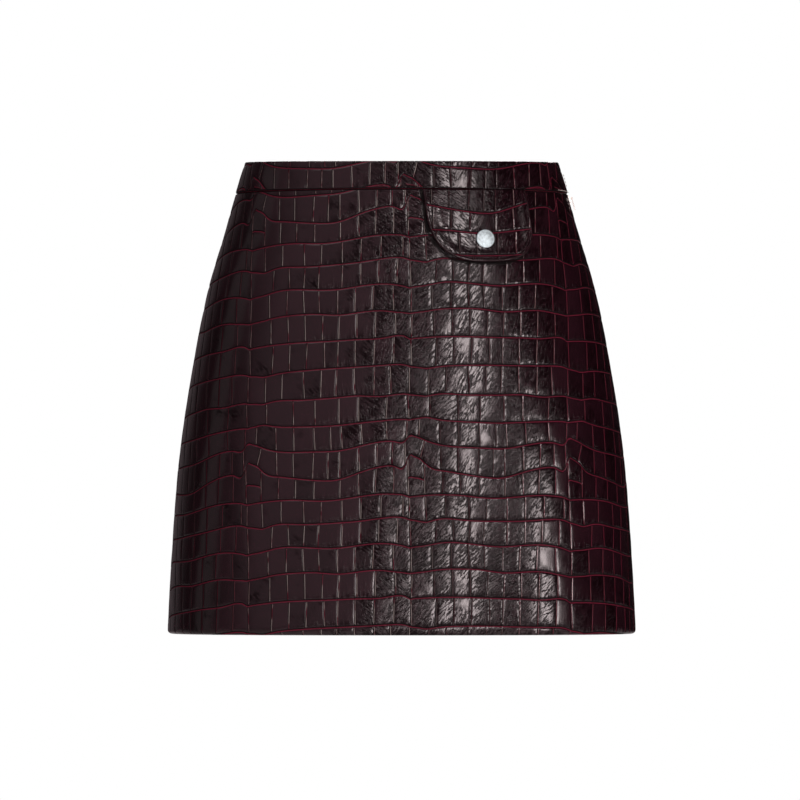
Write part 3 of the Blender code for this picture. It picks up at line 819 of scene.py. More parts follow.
def flap_grid(columns, rows, inset):
    """Arcs and drops of a grid of the flap: even in the angle whose sine is the share across."""
    turn = np.linspace(-math.pi / 2, math.pi / 2, columns + 1)
    down = np.linspace(0, 1, rows + 1)
    across, down = np.meshgrid(np.sin(turn), down)
    return flap_places(across, down, inset)


def grid_rim(grid):
    """Values round the edge of a grid, in order: across the top, down, back across, and up."""
    return np.concatenate([grid[0], grid[1:-1, -1], grid[-1, ::-1], grid[-2:0:-1, 0]])


def flap_edge(columns=FLAP_COLUMNS, rows=FLAP_ROWS, inset=0.0):
    """Arcs and drops along the flap's free edge, drawn in from its outline."""
    return [grid_rim(part)[columns + 1 :] for part in flap_grid(columns, rows, inset)]


def distance_to_path(arc, drop, path_arc, path_drop):
    """Least distance from each point to the points of a path, on the flat cloth."""
    found = np.full(arc.shape, np.inf)
    for start in range(0, len(path_arc), 64):
        side = arc[..., None] - path_arc[start : start + 64]
        down = drop[..., None] - path_drop[start : start + 64]
        found = np.minimum(found, np.hypot(side, down).min(axis=-1))
    return found


def painted_flap_shadow(arc, drop):
    """Distance of points of the front panel to the flap's edge shifted to the wearer's right and
    down, away from the lights, round which the flap's painted shadow is laid.
    """
    found = np.full(arc.shape, FIELD_REACH)
    near = np.hypot(arc - FLAP_MIDDLE, drop - BAND_DEPTH) < 2 * FLAP_HALF_WIDTH
    aside, below = (part + shift for part, shift in zip(flap_edge(), FLAP_SHADOW_SHIFT))
    found[near] = distance_to_path(arc[near], drop[near], aside, below)
    return np.minimum(found, FIELD_REACH)


def flap_curl(edge, drop):
    """Rise of the flap's free edge off the panel: it fades in from the edge and from the seam."""
    return FLAP_CURL * (1 - ease(edge, 0, FLAP_CURL_REACH)) * ease(drop - FLAP_TOP, 0, FLAP_CURL_START)


def build_flap():
    """Coin pocket flap: a doubled tongue with an embossed face, a rounded edge whose topstitch
    sinks a groove, and a plain underside."""
    arc, drop = flap_grid(FLAP_COLUMNS, FLAP_ROWS, FLAP_EDGE_RADIUS)
    path = flap_edge()
    edge = distance_to_path(arc, drop, *path)
    scale = emboss("flap", "front", arc.ravel(), drop.ravel())
    relief = scale_relief(*scale).reshape(arc.shape) * ease(edge, *FLAP_EMBOSS_FADE)
    relief -= TOPSTITCH_GROOVE * np.exp(-(((edge - TOPSTITCH_INSET) / TOPSTITCH_WIDTH) ** 2))
    face_out = FLAP_LIFT + FLAP_LEATHER
    rows = [(arc.ravel(), drop.ravel(), (face_out + relief).ravel())]
    face = np.arange(arc.size).reshape(arc.shape)
    faces = [grid_quads(face)]
    rim = grid_rim(face)
    count = arc.size
    angles = np.linspace(0, math.pi / 2, FLAP_EDGE_STEPS + 1)[1:]
    insets = np.append(FLAP_EDGE_RADIUS * (1 - np.sin(angles)), 0.0)
    depths = np.append(FLAP_EDGE_RADIUS * (1 - np.cos(angles)), FLAP_LEATHER)
    for inset, sunk in zip(insets, depths):
        ring = [grid_rim(part) for part in flap_grid(FLAP_COLUMNS, FLAP_ROWS, inset)]
        ring.append(np.full_like(ring[0], face_out - sunk))
        rows.append(ring)
        numbers = np.arange(len(rim)) + count
        faces.append(np.stack([rim, numbers, np.roll(numbers, -1), np.roll(rim, -1)], -1)[:, ::-1])
        rim = numbers
        count += len(numbers)
    inner = [part[1:-1, 1:-1] for part in flap_grid(FLAP_COLUMNS, FLAP_ROWS, 0.0)]
    under = np.empty(arc.shape, int)
    under[1:-1, 1:-1] = np.arange(inner[0].size).reshape(inner[0].shape) + count
    sides = np.cumsum([FLAP_COLUMNS + 1, FLAP_ROWS - 1, FLAP_COLUMNS + 1])
    top, right, foot, left = np.split(rim, sides)
    under[0], under[1:-1, -1], under[-1], under[1:-1, 0] = top, right, foot[::-1], left[::-1]
    rows.append((*(part.ravel() for part in inner), np.full(inner[0].size, FLAP_LIFT)))
    faces.append(grid_quads(under)[:, [0, 3, 2, 1]])
    arc, drop, out = (np.concatenate([row[part] for row in rows]) for part in range(3))
    edge = distance_to_path(arc, drop, *path)
    out = out + soft_folds("front", arc, drop) + flap_curl(edge, drop)
    made = new_piece("pocket_flap_leather", cloth("front", arc, drop, out), faces)
    scale = list(emboss("flap", "front", arc, drop))
    turned = ease(edge, *TURNED_EDGE_FADE)
    for groove in (0, 1):
        scale[groove] = np.where(turned < 0.5, FIELD_REACH, scale[groove])
    write_scale_values(made.data, arc, drop, TURNED_EDGE_DULLNESS * (1 - turned), scale)
    return made


THREAD_SIDES = 6
THREAD_RINGS = 7
THREAD_TIP = 0.02
# Pitch of the stitches, and the length, radius and lift of each
TOPSTITCH_PITCH = 2.9 * MM
TOPSTITCH_THREAD = (2.3 * MM, 0.22 * MM, 0.16 * MM)
ZIP_STITCH_PITCH = 2.8 * MM
ZIP_STITCH_THREAD = (2.1 * MM, 0.34 * MM, 0.3 * MM)


def thread_mesh(name, centres, alongs, normals, length, radius, lift):
    """Mesh of sewn stitches: each is a thread whose ends dive into the cloth, its middle line
    centre + s length/2 along + lift (1 - s^2) out, with a radius that closes as (1 - s^6)^1/2."""
    share = np.linspace(-1, 1, THREAD_RINGS)
    angle = np.linspace(0, 2 * math.pi, THREAD_SIDES, endpoint=False)
    sides = np.cross(normals, alongs)
    middle = centres[:, None] + alongs[:, None] * (share * length / 2)[None, :, None]
    middle = middle + normals[:, None] * (lift * (1 - share**2))[None, :, None]
    thick = radius * np.sqrt(np.maximum(1 - share**6, THREAD_TIP))
    around = np.cos(angle)[:, None] * sides[:, None, None]
    around = around + np.sin(angle)[:, None] * normals[:, None, None]
    points = middle[:, :, None] + around * thick[:, None, None]
    numbers = np.arange(points[..., 0].size).reshape(points.shape[:-1])
    return new_piece(name, points, [ring_quads(numbers), numbers[:, 0, ::-1], numbers[:, -1]])


def stitches_along(half, arc, drop, out, pitch):
    """Places, directions and normals of stitches at an even pitch along a path on the cloth."""
    points = cloth(half, arc, drop, out)
    run = np.concatenate([[0], np.linalg.norm(np.diff(points, axis=0), axis=1).cumsum()])
    count = int(run[-1] / pitch)
    at = (np.arange(count) + 0.5) * run[-1] / count
    step = 0.3 * MM

    def place(run_at):
        return np.interp(run_at, run, arc), np.interp(run_at, run, drop), np.interp(run_at, run, out)

    arc_at, drop_at, out_at = place(at)
    centres = cloth(half, arc_at, drop_at, out_at)
    alongs = cloth(half, *place(at + step)) - cloth(half, *place(at - step))
    normals = cloth(half, arc_at, drop_at, out_at + step) - centres
    return centres, unit(alongs), unit(normals)


def build_flap_stitches():
    """Topstitch round the flap's free edge, sunk in its groove."""
    arc, drop = flap_edge(120, 60, TOPSTITCH_INSET)
    out = FLAP_LIFT + FLAP_LEATHER - TOPSTITCH_GROOVE + soft_folds("front", arc, drop)
    out = out + flap_curl(np.full_like(arc, TOPSTITCH_INSET), drop)
    places = stitches_along("front", arc, drop, out, TOPSTITCH_PITCH)
    return thread_mesh("flap_topstitch", *places, *TOPSTITCH_THREAD)


# Stitches at the zip's top: a row above the waist seam, by its distance from the end, its rise
# above the seam and how proud it lies at three points, and a row up the end between two drops
ZIP_STITCH_END = 2.5 * MM
ZIP_STITCH_LEVEL = 20 * MM
ZIP_STITCH_ROW = np.array([(34.0, 1.2, 0.9), (17.0, 0.9, 0.8), (0.0, 0.4, 0.35)]) * MM
ZIP_STITCH_RISE = (11.0 * MM, 23.0 * MM)


def build_zip_stitches():
    """Stitches that hold the zip's top: a row above the seam at the waistband's left end, and one
    up it."""
    from_end, above_seam, proud = ZIP_STITCH_ROW.T
    arc_end = half_arc("front", ZIP_STITCH_LEVEL) - ZIP_STITCH_END
    arc = arc_end - from_end
    drop = seam_drop("front", arc) - above_seam
    out = BAND_PROUD + proud
    paths = [(arc, drop), (np.full(len(out), arc_end), np.linspace(*ZIP_STITCH_RISE, len(out)))]
    rows = [stitches_along("front", *path, out, ZIP_STITCH_PITCH) for path in paths]
    places = [np.concatenate(part) for part in zip(*rows)]
    return thread_mesh("zip_top_stitches", *places, *ZIP_STITCH_THREAD)


SNAP_DROP = 70.5 * MM
SNAP_ARC = 74.6 * MM
SNAP_STEPS = 96
SNAP_PROFILE = (
    (0.0, 2.50), (1.2, 2.48), (2.4, 2.41), (3.6, 2.27), (4.7, 2.06), (5.5, 1.85), (6.1, 1.66),
    (6.5, 1.50), (6.8, 1.40), (7.1, 1.37), (7.5, 1.30), (7.9, 1.08), (8.25, 0.76), (8.4, 0.44),
    (8.32, 0.16), (7.9, 0.02), (7.2, 0.0), (0.0, 0.0),
)


def surface_frame(half, arc, drop, out):
    """Place on the cloth with its side, up and outward directions, as columns of a 3 x 3 array."""
    arc, drop = np.array([arc]), np.array([drop])
    place = cloth(half, arc, drop, out)[0]
    normal = unit(cloth(half, arc, drop, out + MM)[0] - place)
    side = unit(np.cross([0, 0, 1], normal))
    return place, np.stack([side, np.cross(normal, side), normal], axis=1)


def build_snap():
    """Domed snap cap: its profile of radius and height turned round its own axis."""
    radius, height = np.array(SNAP_PROFILE).T * MM
    angle = np.linspace(0, 2 * math.pi, SNAP_STEPS, endpoint=False)
    around = [radius[1:-1, None] * np.cos(angle), radius[1:-1, None] * np.sin(angle)]
    rings = np.stack([*around, np.repeat(height[1:-1, None], SNAP_STEPS, axis=1)], axis=-1)
    points = np.concatenate([rings.reshape(-1, 3), [[0, 0, height[0]]], [[0, 0, height[-1]]]])
    lift = FLAP_LIFT + FLAP_LEATHER + SEAM_GAP
    place, turn = surface_frame("front", SNAP_ARC, SNAP_DROP, lift)
    numbers = np.arange(rings[..., 0].size).reshape(rings.shape[:-1])
    turned = np.roll(numbers, -1, axis=1)
    crown, foot = (np.full(SNAP_STEPS, len(points) - back) for back in (2, 1))
    fans = [(crown, numbers[0], turned[0]), (foot, turned[-1], numbers[-1])]
    faces = [ring_quads(numbers)[:, [0, 3, 2, 1]], *(np.stack(fan, axis=-1) for fan in fans)]
    return new_piece("snap_cap_domed", points @ turn.T + place, faces)


ZIP_TAPE_HALF_WIDTH = 10.0 * MM
ZIP_TAPE_INSET = PANEL_LEATHER + 0.8 * MM
ZIP_TAPE_THICKNESS = 0.7 * MM
ZIP_TAPE_RIDGE = 0.25 * MM
ZIP_TAPE_RIDGE_REACH = 2 * MM
ZIP_TAPE_ROWS = 60
ZIP_TAPE_COLUMNS = 25
ZIP_FOOT_LEVEL = 180 * MM
TOOTH_PITCH = 1.25 * MM
TOOTH_REACH = 2.3 * MM
TOOTH_HEIGHT = 0.9 * MM
TOOTH_INSET = 1.15 * MM
TOOTH_END = 1.2 * MM
# Rings of a tooth: share of its reach, and how much narrower it is there
TOOTH_RINGS = ((-0.95, 0.72), (-0.55, 1.0), (0.2, 1.0), (0.62, 0.6))


def zip_place(side, drop, out):
    """Points round the left seam: a side distance of 0 is the seam, plus is behind it."""
    side, drop, out = np.broadcast_arrays(side, drop, out)
    points = np.empty(side.shape + (3,))
    for half, chosen in (("front", side <= 0), ("back", side > 0)):
        arc = half_arc(half, drop[chosen]) - np.abs(side[chosen])
        points[chosen] = cloth(half, arc, drop[chosen], out[chosen])
    return points


def zip_span():
    """Drops of the zip's top, under the waist seam, and of its foot, where a row of scales ends."""
    top = band_bottom(1.0) + 2 * SEAM_GAP
    feet = []
    for half in ("front", "back"):
        arc = np.array([float(half_arc(half, ZIP_FOOT_LEVEL))])
        feet.append(float(line_drop("panel", half, ZIP_ROWS, arc)[0]))
    return top, min(feet) - SEAM_GAP


def build_zip_tape():
    """Tape behind the zip's slot: a thin strip round the seam, with a ridge at its middle whose
    height falls off as exp(-s^2), with s the distance from the seam over the ridge's reach."""
    top, foot = zip_span()
    drop = np.linspace(top, foot, ZIP_TAPE_ROWS)
    side = np.linspace(-1, 1, ZIP_TAPE_COLUMNS) * ZIP_TAPE_HALF_WIDTH
    face = -ZIP_TAPE_INSET + ZIP_TAPE_RIDGE * np.exp(-((side / ZIP_TAPE_RIDGE_REACH) ** 2))
    ring_side = np.concatenate([side, side[::-1]])
    ring_out = np.concatenate([face, np.full(len(side), -ZIP_TAPE_INSET - ZIP_TAPE_THICKNESS)])
    rings = zip_place(ring_side[None, :], drop[:, None], ring_out[None, :])
    numbers = np.arange(rings[..., 0].size).reshape(rings.shape[:-1])
    faces = [ring_quads(numbers), numbers[:1, ::-1], numbers[-1:]]
    return new_piece("zip_tape_strip", rings, faces, smooth=False)


def build_zip_teeth():
    """Closed teeth: small rounded blocks that reach over the seam from either side in turn."""
    top, foot = zip_span()
    drop = np.arange(top + TOOTH_END, foot - TOOTH_END, TOOTH_PITCH)
    way = np.where(np.arange(len(drop)) % 2, 1.0, -1.0)[:, None]
    corner = np.array([[-1, -1], [1, -1], [1, 1], [-1, 1]], float)
    rings = []
    for share, narrow in TOOTH_RINGS:
        tall, deep = corner.T * narrow * TOOTH_HEIGHT / 2
        side = way * -share * TOOTH_REACH * np.ones(4)
        rings.append(zip_place(side, drop[:, None] + tall, -TOOTH_INSET + deep))
    rings = np.stack(rings, axis=1)
    numbers = np.arange(rings[..., 0].size).reshape(rings.shape[:-1])
    faces = []
    for side, turned in ((-1.0, 1), (1.0, -1)):
        chosen = numbers[way[:, 0] == side]
        groups = [ring_quads(chosen)[:, ::-1], chosen[:, 0], chosen[:, -1, ::-1]]
        faces += [group[:, ::turned] for group in groups]
    return new_piece("zip_teeth", rings, faces, smooth=False)


def put_inputs(tree, node, inputs):
    """Sets a node's inputs, by name or place, to values, or links them from outputs."""
    for name, value in inputs.items():
        if isinstance(value, bpy.types.NodeSocket):
            tree.links.new(value, node.inputs[name])
        else:
            node.inputs[name].default_value = value


def add_node(tree, kind, inputs=None, **settings):
    """Shader node of a kind with its settings and inputs."""
    node = tree.nodes.new("ShaderNode" + kind)
    for name, value in settings.items():
        setattr(node, name, value)
    put_inputs(tree, node, inputs or {})
    return node


def math_node(tree, operation, first, *others, clamp=False):
    """Output of Math nodes that take one value after another into the first."""
    for other in others:
        inputs = {0: first, 1: other}
        first = add_node(tree, "Math", inputs, operation=operation, use_clamp=clamp).outputs[0]
    return first


def scaled_node(tree, value, factor, added=0.0):
    """Output of a Math node: the value times a factor, plus something added."""
    inputs = {0: value, 1: factor, 2: added}
    return add_node(tree, "Math", inputs, operation="MULTIPLY_ADD").outputs[0]


def absolute_node(tree, value):
    """Output of a Math node: the value without its sign."""
    return add_node(tree, "Math", {0: value}, operation="ABSOLUTE").outputs[0]


def step_node(tree, value, low, high, to_low=0.0, to_high=1.0):
    """Output of a Map Range node: an eased step from to_low at low to to_high at high."""
    ends = {"Value": value, "From Min": low, "From Max": high, "To Min": to_low, "To Max": to_high}
    return add_node(tree, "MapRange", ends, interpolation_type="SMOOTHSTEP").outputs[0]


def steps_node(tree, reads, steps):
    """Product of eased steps, each a row of what it reads and the numbers of the step."""
    made = [step_node(tree, reads[read], *numbers) for read, *numbers in steps]
    return math_node(tree, "MULTIPLY", *made)


def mix_colour(tree, share, one, other):
    """Output of a colour Mix node; the colours and the share are values or sockets."""
    return add_node(tree, "Mix", {0: share, 6: one, 7: other}, data_type="RGBA").outputs[2]


def noise_node(tree, place, scale, detail, **inputs):
    """Value of a Noise Texture."""
    inputs = {"Vector": place, "Scale": scale, "Detail": detail, **inputs}
    return add_node(tree, "TexNoise", inputs).outputs["Fac"]


def bump_node(tree, height, distance):
    """Normal of a Bump node."""
    return add_node(tree, "Bump", {"Height": height, "Distance": distance}).outputs["Normal"]


def vector_parts(tree, vector):
    """X, Y and Z of a vector."""
    return add_node(tree, "SeparateXYZ", {"Vector": vector}).outputs


def attribute_parts(tree, name):
    """The three parts of a vector attribute."""
    return vector_parts(tree, add_node(tree, "Attribute", attribute_name=name).outputs["Vector"])


def object_place(tree):
    """Object coordinates."""
    return add_node(tree, "TexCoord").outputs["Object"]


def use_group(tree, name, **inputs):
    """Outputs of a group placed in a tree, its inputs set or linked by name."""
    inputs = {socket.replace("_", " "): value for socket, value in inputs.items()}
    return add_node(tree, "Group", inputs, node_tree=bpy.data.node_groups[name]).outputs


def node_group(name, inputs, outputs):
    """Empty group that takes a place and some numbers and gives numbers, and its two ends."""
    group = bpy.data.node_groups.new(name, "ShaderNodeTree")
    group.interface.new_socket("Place", in_out="INPUT", socket_type="NodeSocketVector")
    for socket, default in inputs.items():
        made = group.interface.new_socket(socket, in_out="INPUT", socket_type="NodeSocketFloat")
        made.default_value = default
    for socket in outputs:
        group.interface.new_socket(socket, in_out="OUTPUT", socket_type="NodeSocketFloat")
    return group, group.nodes.new("NodeGroupInput").outputs, group.nodes.new("NodeGroupOutput")


# Which way the wrinkles slant, by the place on the flat cloth in metres, and their two layers:
# the angle, how far they are drawn out, and the scale
SLANT_SIDE = 0.01
SLANT_RAGGEDNESS = 0.05
UPPER_ROWS = -0.088
UPPER_ROWS_SHIFT = -0.085
SLANT_ANGLE = -1.62
SLANT_SPREAD = 0.45
WRINKLE_LAYERS = ((0.72, 4.5, 350.0), (1.0, 3.5, 450.0))
# Eased steps that fold the streaks into ridges, and that mask the valleys between them
WRINKLE_FOLD = (-0.02, 0.13)
WRINKLE_VALLEY = (0.24, 0.58, 1.0, 0.0)
# Patches of wrinkles: how much likelier they are from side to side, and how sharply they end
PATCH_SCALE = 60.0
PATCH_SIDES = ((-0.075, 0.02, -0.20, 0.27), (0.11, 0.16, 0.0, -0.32))
PATCH_TONE = -0.30
PATCH_EDGE = (0.24, 0.52, 0.05, 1.0)
# Pinches above the lines: eased steps of the millimetres above one, the side and the ticks
PINCH_STEPS = (("above", 2.2, 4.6, 1.0, 0.0), ("side", -0.11, -0.03, 0.15, 1.0), ("ticks", 0.46, 0.54))
TICK_SCALE = 520.0
PEBBLE_SCALE = 1200.0
VALLEY_OF_PINCH = 0.9


def skin_texture_group():
    """Fine skin of embossed leather: slanting wrinkles in patches, pinches above the lines between
    rows, and a pebbled grain, as one height, with a mask of the wrinkles' valleys."""
    group, given, leave = node_group(
        "leather_skin",
        {"Above Line": 4.0, "Wrinkles": 1.0, "Grain": 0.12, "Tone": 0.5},
        ("Height", "Valley"),
    )
    place, tone = given["Place"], given["Tone"]
    parts = vector_parts(group, place)
    turn = scaled_node(group, tone, SLANT_RAGGEDNESS, parts["X"])
    upper = math_node(group, "GREATER_THAN", parts["Y"], UPPER_ROWS)
    turn = scaled_node(group, upper, UPPER_ROWS_SHIFT, turn)
    slanted = math_node(group, "GREATER_THAN", turn, SLANT_SIDE)
    slant = math_node(group, "MULTIPLY", slanted, SLANT_ANGLE)
    slant = scaled_node(group, tone, SLANT_SPREAD, slant)
    heights = []
    for extra, stretch, scale in WRINKLE_LAYERS:
        angle = add_node(group, "CombineXYZ", {"Z": math_node(group, "ADD", slant, extra)})
        drawn = {"Vector": place, "Rotation": angle.outputs["Vector"], "Scale": (1.0, stretch, 1.0)}
        turned = add_node(group, "Mapping", drawn, vector_type="TEXTURE").outputs["Vector"]
        streaks = noise_node(group, turned, scale, 1.0, Roughness=0.5, Distortion=0.2)
        folded = absolute_node(group, math_node(group, "SUBTRACT", streaks, 0.5))
        heights.append(step_node(group, folded, *WRINKLE_FOLD))
    sides = [step_node(group, parts["X"], *numbers) for numbers in PATCH_SIDES]
    uneven = scaled_node(group, tone, PATCH_TONE, noise_node(group, place, PATCH_SCALE, 2.0))
    uneven = math_node(group, "ADD", uneven, *sides)
    patchy = step_node(group, uneven, *PATCH_EDGE)
    patchy = math_node(group, "MULTIPLY", patchy, given["Wrinkles"])
    both = math_node(group, "MULTIPLY", heights[0], step_node(group, heights[1], 0.0, 1.0, 0.35, 1.0))
    wrinkle = math_node(group, "MULTIPLY", both, patchy)
    low = math_node(group, "MULTIPLY", step_node(group, both, *WRINKLE_VALLEY), patchy)
    upright = add_node(group, "Mapping", {"Vector": place, "Scale": (1.0, 0.12, 1.0)})
    ticks = noise_node(group, upright.outputs["Vector"], TICK_SCALE, 1.0)
    reads = {"above": given["Above Line"], "side": parts["X"], "ticks": ticks}
    pinch = steps_node(group, reads, PINCH_STEPS)
    valley = math_node(group, "MAXIMUM", low, math_node(group, "MULTIPLY", pinch, VALLEY_OF_PINCH))
    pebbles = add_node(group, "TexVoronoi", {"Vector": place, "Scale": PEBBLE_SCALE})
    grain = math_node(group, "MULTIPLY", pebbles.outputs["Distance"], given["Grain"])
    height = math_node(group, "ADD", wrinkle, grain, pinch)
    put_inputs(group, leave, {"Height": height, "Valley": valley})


def dye_unevenness_group():
    """Slow unevenness of a dyed or rubbed surface: a mask from -0.5 to 0.5 of clouds."""
    group, given, leave = node_group("dye_unevenness", {"Scale": 30.0}, ("Mask",))
    cloud = noise_node(group, given["Place"], given["Scale"], 4.0)
    put_inputs(group, leave, {"Mask": math_node(group, "SUBTRACT", cloud, 0.5)})


def new_material(name):
    """Material with its tree and its Principled shader."""
    made = bpy.data.materials.new(name)
    made.use_nodes = True
    return made, made.node_tree, made.node_tree.nodes["Principled BSDF"]


# Masks of the leather: products of eased steps over what each reads, in millimetres from the
# grooves (plus below a line, minus above it) or in metres to the side on the flat cloth
LEATHER_MASKS = {
    "in_line": (
        ("line", 0.5, 1.0, 1.0, 0.0), ("line", -0.25, -0.05), ("line_distance", 1.4, 1.9, 1.0, 0.0),
    ),
    # Painted shade: black on the lower edge of the scale above each line
    "over_line": (
        ("line", -1.6, -0.7), ("line", -0.25, -0.05, 1.0, 0.0),
        ("line_distance", 2.6, 3.0, 1.0, 0.0),
    ),
    # Thin uprights in crimson or in pale; the pale is a painted glint, weakened to 0.3 in the core
    # light's highlight band (the polish read)
    "upright": (
        ("upright", -0.10, 0.10), ("upright_distance", 0.45, 0.8, 1.0, 0.0),
        ("line_distance", 1.0, 2.0), ("polish", 0.0, 1.0, 1.0, 0.3),
    ),
    # Painted shade on one flank of each upright groove, beside its pale line
    "flank": (
        ("upright", -1.15, -0.35), ("upright", 0.0, 0.2, 1.0, 0.0),
        ("upright_distance", 1.15, 1.3, 1.0, 0.0),
    ),
    # Where the uprights are pale as a painted glint rather than crimson: set by the side on the flat
    # cloth and broken up by clouds (the rubbed read)
    "worn": (
        ("side", -0.165, -0.115), ("side", 0.02, 0.07, 1.0, 0.45), ("side", 0.115, 0.150, 1.0, 0.1),
        ("rubbed", -0.14, 0.04),
    ),
}
# Band across the front in which the core light's highlight falls and the uprights' painted glint is
# weakened
HIGHLIGHT_BAND_FROM = (0.012, 0.034)
HIGHLIGHT_BAND_TO = (0.084, 0.100)
# Flap's top row, dulled so that it looks shaded, standing in for shade: its line, the line's bow, and
# the glaze left
FLAP_TOP_LINE = (-0.0465, -0.0435)
FLAP_TOP_BOW = 4.2
FLAP_TOP_GLAZE = 0.2


def flap_top_glaze(tree, flat):
    """Share of the glaze that is left: little on the flap above its first line, dulled there so that
    the row looks shaded.
    """
    middle = math_node(tree, "SUBTRACT", flat["X"], FLAP_MIDDLE)
    bowed = math_node(tree, "MULTIPLY", middle, middle, FLAP_TOP_BOW)
    reads = {
        "bowed": math_node(tree, "SUBTRACT", flat["Y"], bowed),
        "down": flat["Y"],
        "aside": absolute_node(tree, middle),
    }
    steps = (
        ("bowed", *FLAP_TOP_LINE), ("down", -BAND_DEPTH, -BAND_DEPTH + 0.5 * MM, 1.0, 0.0),
        ("aside", FLAP_HALF_WIDTH - 4 * MM, FLAP_HALF_WIDTH, 1.0, 0.0),
    )
    return step_node(tree, steps_node(tree, reads, steps), 0.0, 1.0, 1.0, FLAP_TOP_GLAZE)


def croc_leather(looks):
    """Glazed oxblood leather: dark scales of uneven tone, crimson in the lines below each row, painted
    shade in black above them, on one flank of each upright and in the wrinkles' valleys, the pocket
    flap's painted shadow, thin uprights in crimson or in pale as a painted glint, fine wrinkles,
    and a glaze that leaves the grooves."""
    made, tree, shader = new_material("oxblood_croc_leather")
    line = attribute_parts(tree, "line_groove")
    upright = attribute_parts(tree, "upright_groove")
    place = add_node(tree, "UVMap", uv_map="flat").outputs["UV"]
    flat = vector_parts(tree, place)
    above = math_node(tree, "MAXIMUM", line[1], step_node(tree, line[0], -0.01, 0.01, 0.0, 9.0))
    skin = use_group(
        tree, "leather_skin", Place=place, Above_Line=above, Wrinkles=looks.wrinkles, Tone=upright[2]
    )
    dye = use_group(tree, "dye_unevenness", Place=place, Scale=26.0)["Mask"]
    reads = {
        "line": line[0],
        "line_distance": line[1],
        "upright": upright[0],
        "upright_distance": upright[1],
        "side": flat["X"],
        # Clouds that break up where the uprights' painted glint falls
        "rubbed": use_group(tree, "dye_unevenness", Place=place, Scale=75.0)["Mask"],
        # Band of the core light's highlight, in which the uprights' painted glint is weakened
        "polish": math_node(
            tree,
            "SUBTRACT",
            step_node(tree, flat["X"], *HIGHLIGHT_BAND_FROM),
            step_node(tree, flat["X"], *HIGHLIGHT_BAND_TO),
        ),
    }
    masks = {name: steps_node(tree, reads, steps) for name, steps in LEATHER_MASKS.items()}
    # Painted shadow of the pocket flap: shadow colour and no glaze within 1 to 2.6 mm of its shifted
    # edge
    flap_shadow = add_node(tree, "Attribute", attribute_name="crease_distance").outputs["Fac"]
    flap_shadow = math_node(tree, "MULTIPLY", step_node(tree, flap_shadow, 1.0, 2.6, 1.0, 0.0), 0.92)
    shadow, crimson = tuple(looks.shadow), tuple(looks.line)
    tone = math_node(tree, "ADD", upright[2], dye, clamp=True)
    colour = mix_colour(tree, tone, tuple(looks.dark_scale), tuple(looks.light_scale))
    # Over the scales' tone: painted shade in the wrinkles' valleys and on the uprights' flanks, the
    # uprights in crimson or in pale as a painted glint, painted shade above the lines, the crimson
    # lines, the flesh side, and the flap's painted shadow
    layers = (
        (math_node(tree, "MULTIPLY", skin["Valley"], looks.valley_shade), shadow),
        (masks["flank"], shadow),
        (
            math_node(tree, "MULTIPLY", masks["upright"], looks.upright_strength),
            mix_colour(tree, masks["worn"], crimson, tuple(looks.upright)),
        ),
        (masks["over_line"], shadow),
        (masks["in_line"], crimson),
        (line[2], tuple(looks.flesh)),
        (flap_shadow, shadow),
    )
    for share, over in layers:
        colour = mix_colour(tree, share, colour, over)
    grooves = math_node(
        tree, "MAXIMUM", masks["in_line"], masks["over_line"], masks["flank"], line[2], flap_shadow
    )
    dulled = math_node(tree, "MAXIMUM", grooves, skin["Valley"])
    glaze = math_node(tree, "SUBTRACT", 1.0, dulled, clamp=True)
    rough = step_node(tree, grooves, 0.0, 1.0, looks.skin_roughness, 0.80)
    put_inputs(tree, shader, {
        "Base Color": colour,
        "Coat Weight": math_node(tree, "MULTIPLY", glaze, looks.glaze, flap_top_glaze(tree, flat)),
        "Coat Roughness": looks.glaze_roughness,
        "Coat IOR": 1.5,
        "Roughness": scaled_node(tree, dye, 0.12, rough),
        "Specular IOR Level": looks.skin_specular,
        "Normal": bump_node(tree, skin["Height"], looks.skin_height),
    })
    return made


def snap_steel():
    """Brushed cap: fine scratches one way, and dulled specks."""
    made, tree, shader = new_material("brushed_snap_steel")
    place = object_place(tree)
    drawn = {"Vector": place, "Rotation": (0, 0.5, 0), "Scale": (1.0, 1.0, 9.0)}
    brushed = add_node(tree, "Mapping", drawn).outputs["Vector"]
    specks = use_group(tree, "dye_unevenness", Place=place, Scale=420.0)["Mask"]
    mixed = math_node(tree, "ADD", noise_node(tree, brushed, 900.0, 4.0), specks)
    polish = step_node(tree, mixed, 0.25, 0.75)
    put_inputs(tree, shader, {
        "Base Color": mix_colour(tree, polish, (0.41, 0.51, 0.525, 1), (0.74, 0.895, 0.92, 1)),
        "Roughness": step_node(tree, mixed, 0.1, 0.9, 0.45, 0.62),
        "Metallic": 0.55,
        "Normal": bump_node(tree, mixed, 0.05 * MM),
    })
    return made


def zip_steel():
    """Polished zip metal, lighter and darker in small blotches."""
    made, tree, shader = new_material("polished_zip_steel")
    rubbed = use_group(tree, "dye_unevenness", Place=object_place(tree), Scale=700.0)["Mask"]
    mask = math_node(tree, "ADD", rubbed, 0.5)
    put_inputs(tree, shader, {
        "Base Color": mix_colour(tree, mask, (0.17, 0.163, 0.155, 1), (0.50, 0.48, 0.455, 1)),
        "Roughness": step_node(tree, mask, 0.2, 0.8, 0.18, 0.36),
        "Metallic": 1.0,
    })
    return made


def diagonal_wave(tree, scale, distortion=0.0):
    """Value of slanting bands over a piece."""
    inputs = {"Vector": object_place(tree), "Scale": scale, "Distortion": distortion}
    return add_node(tree, "TexWave", inputs, bands_direction="DIAGONAL").outputs["Fac"]


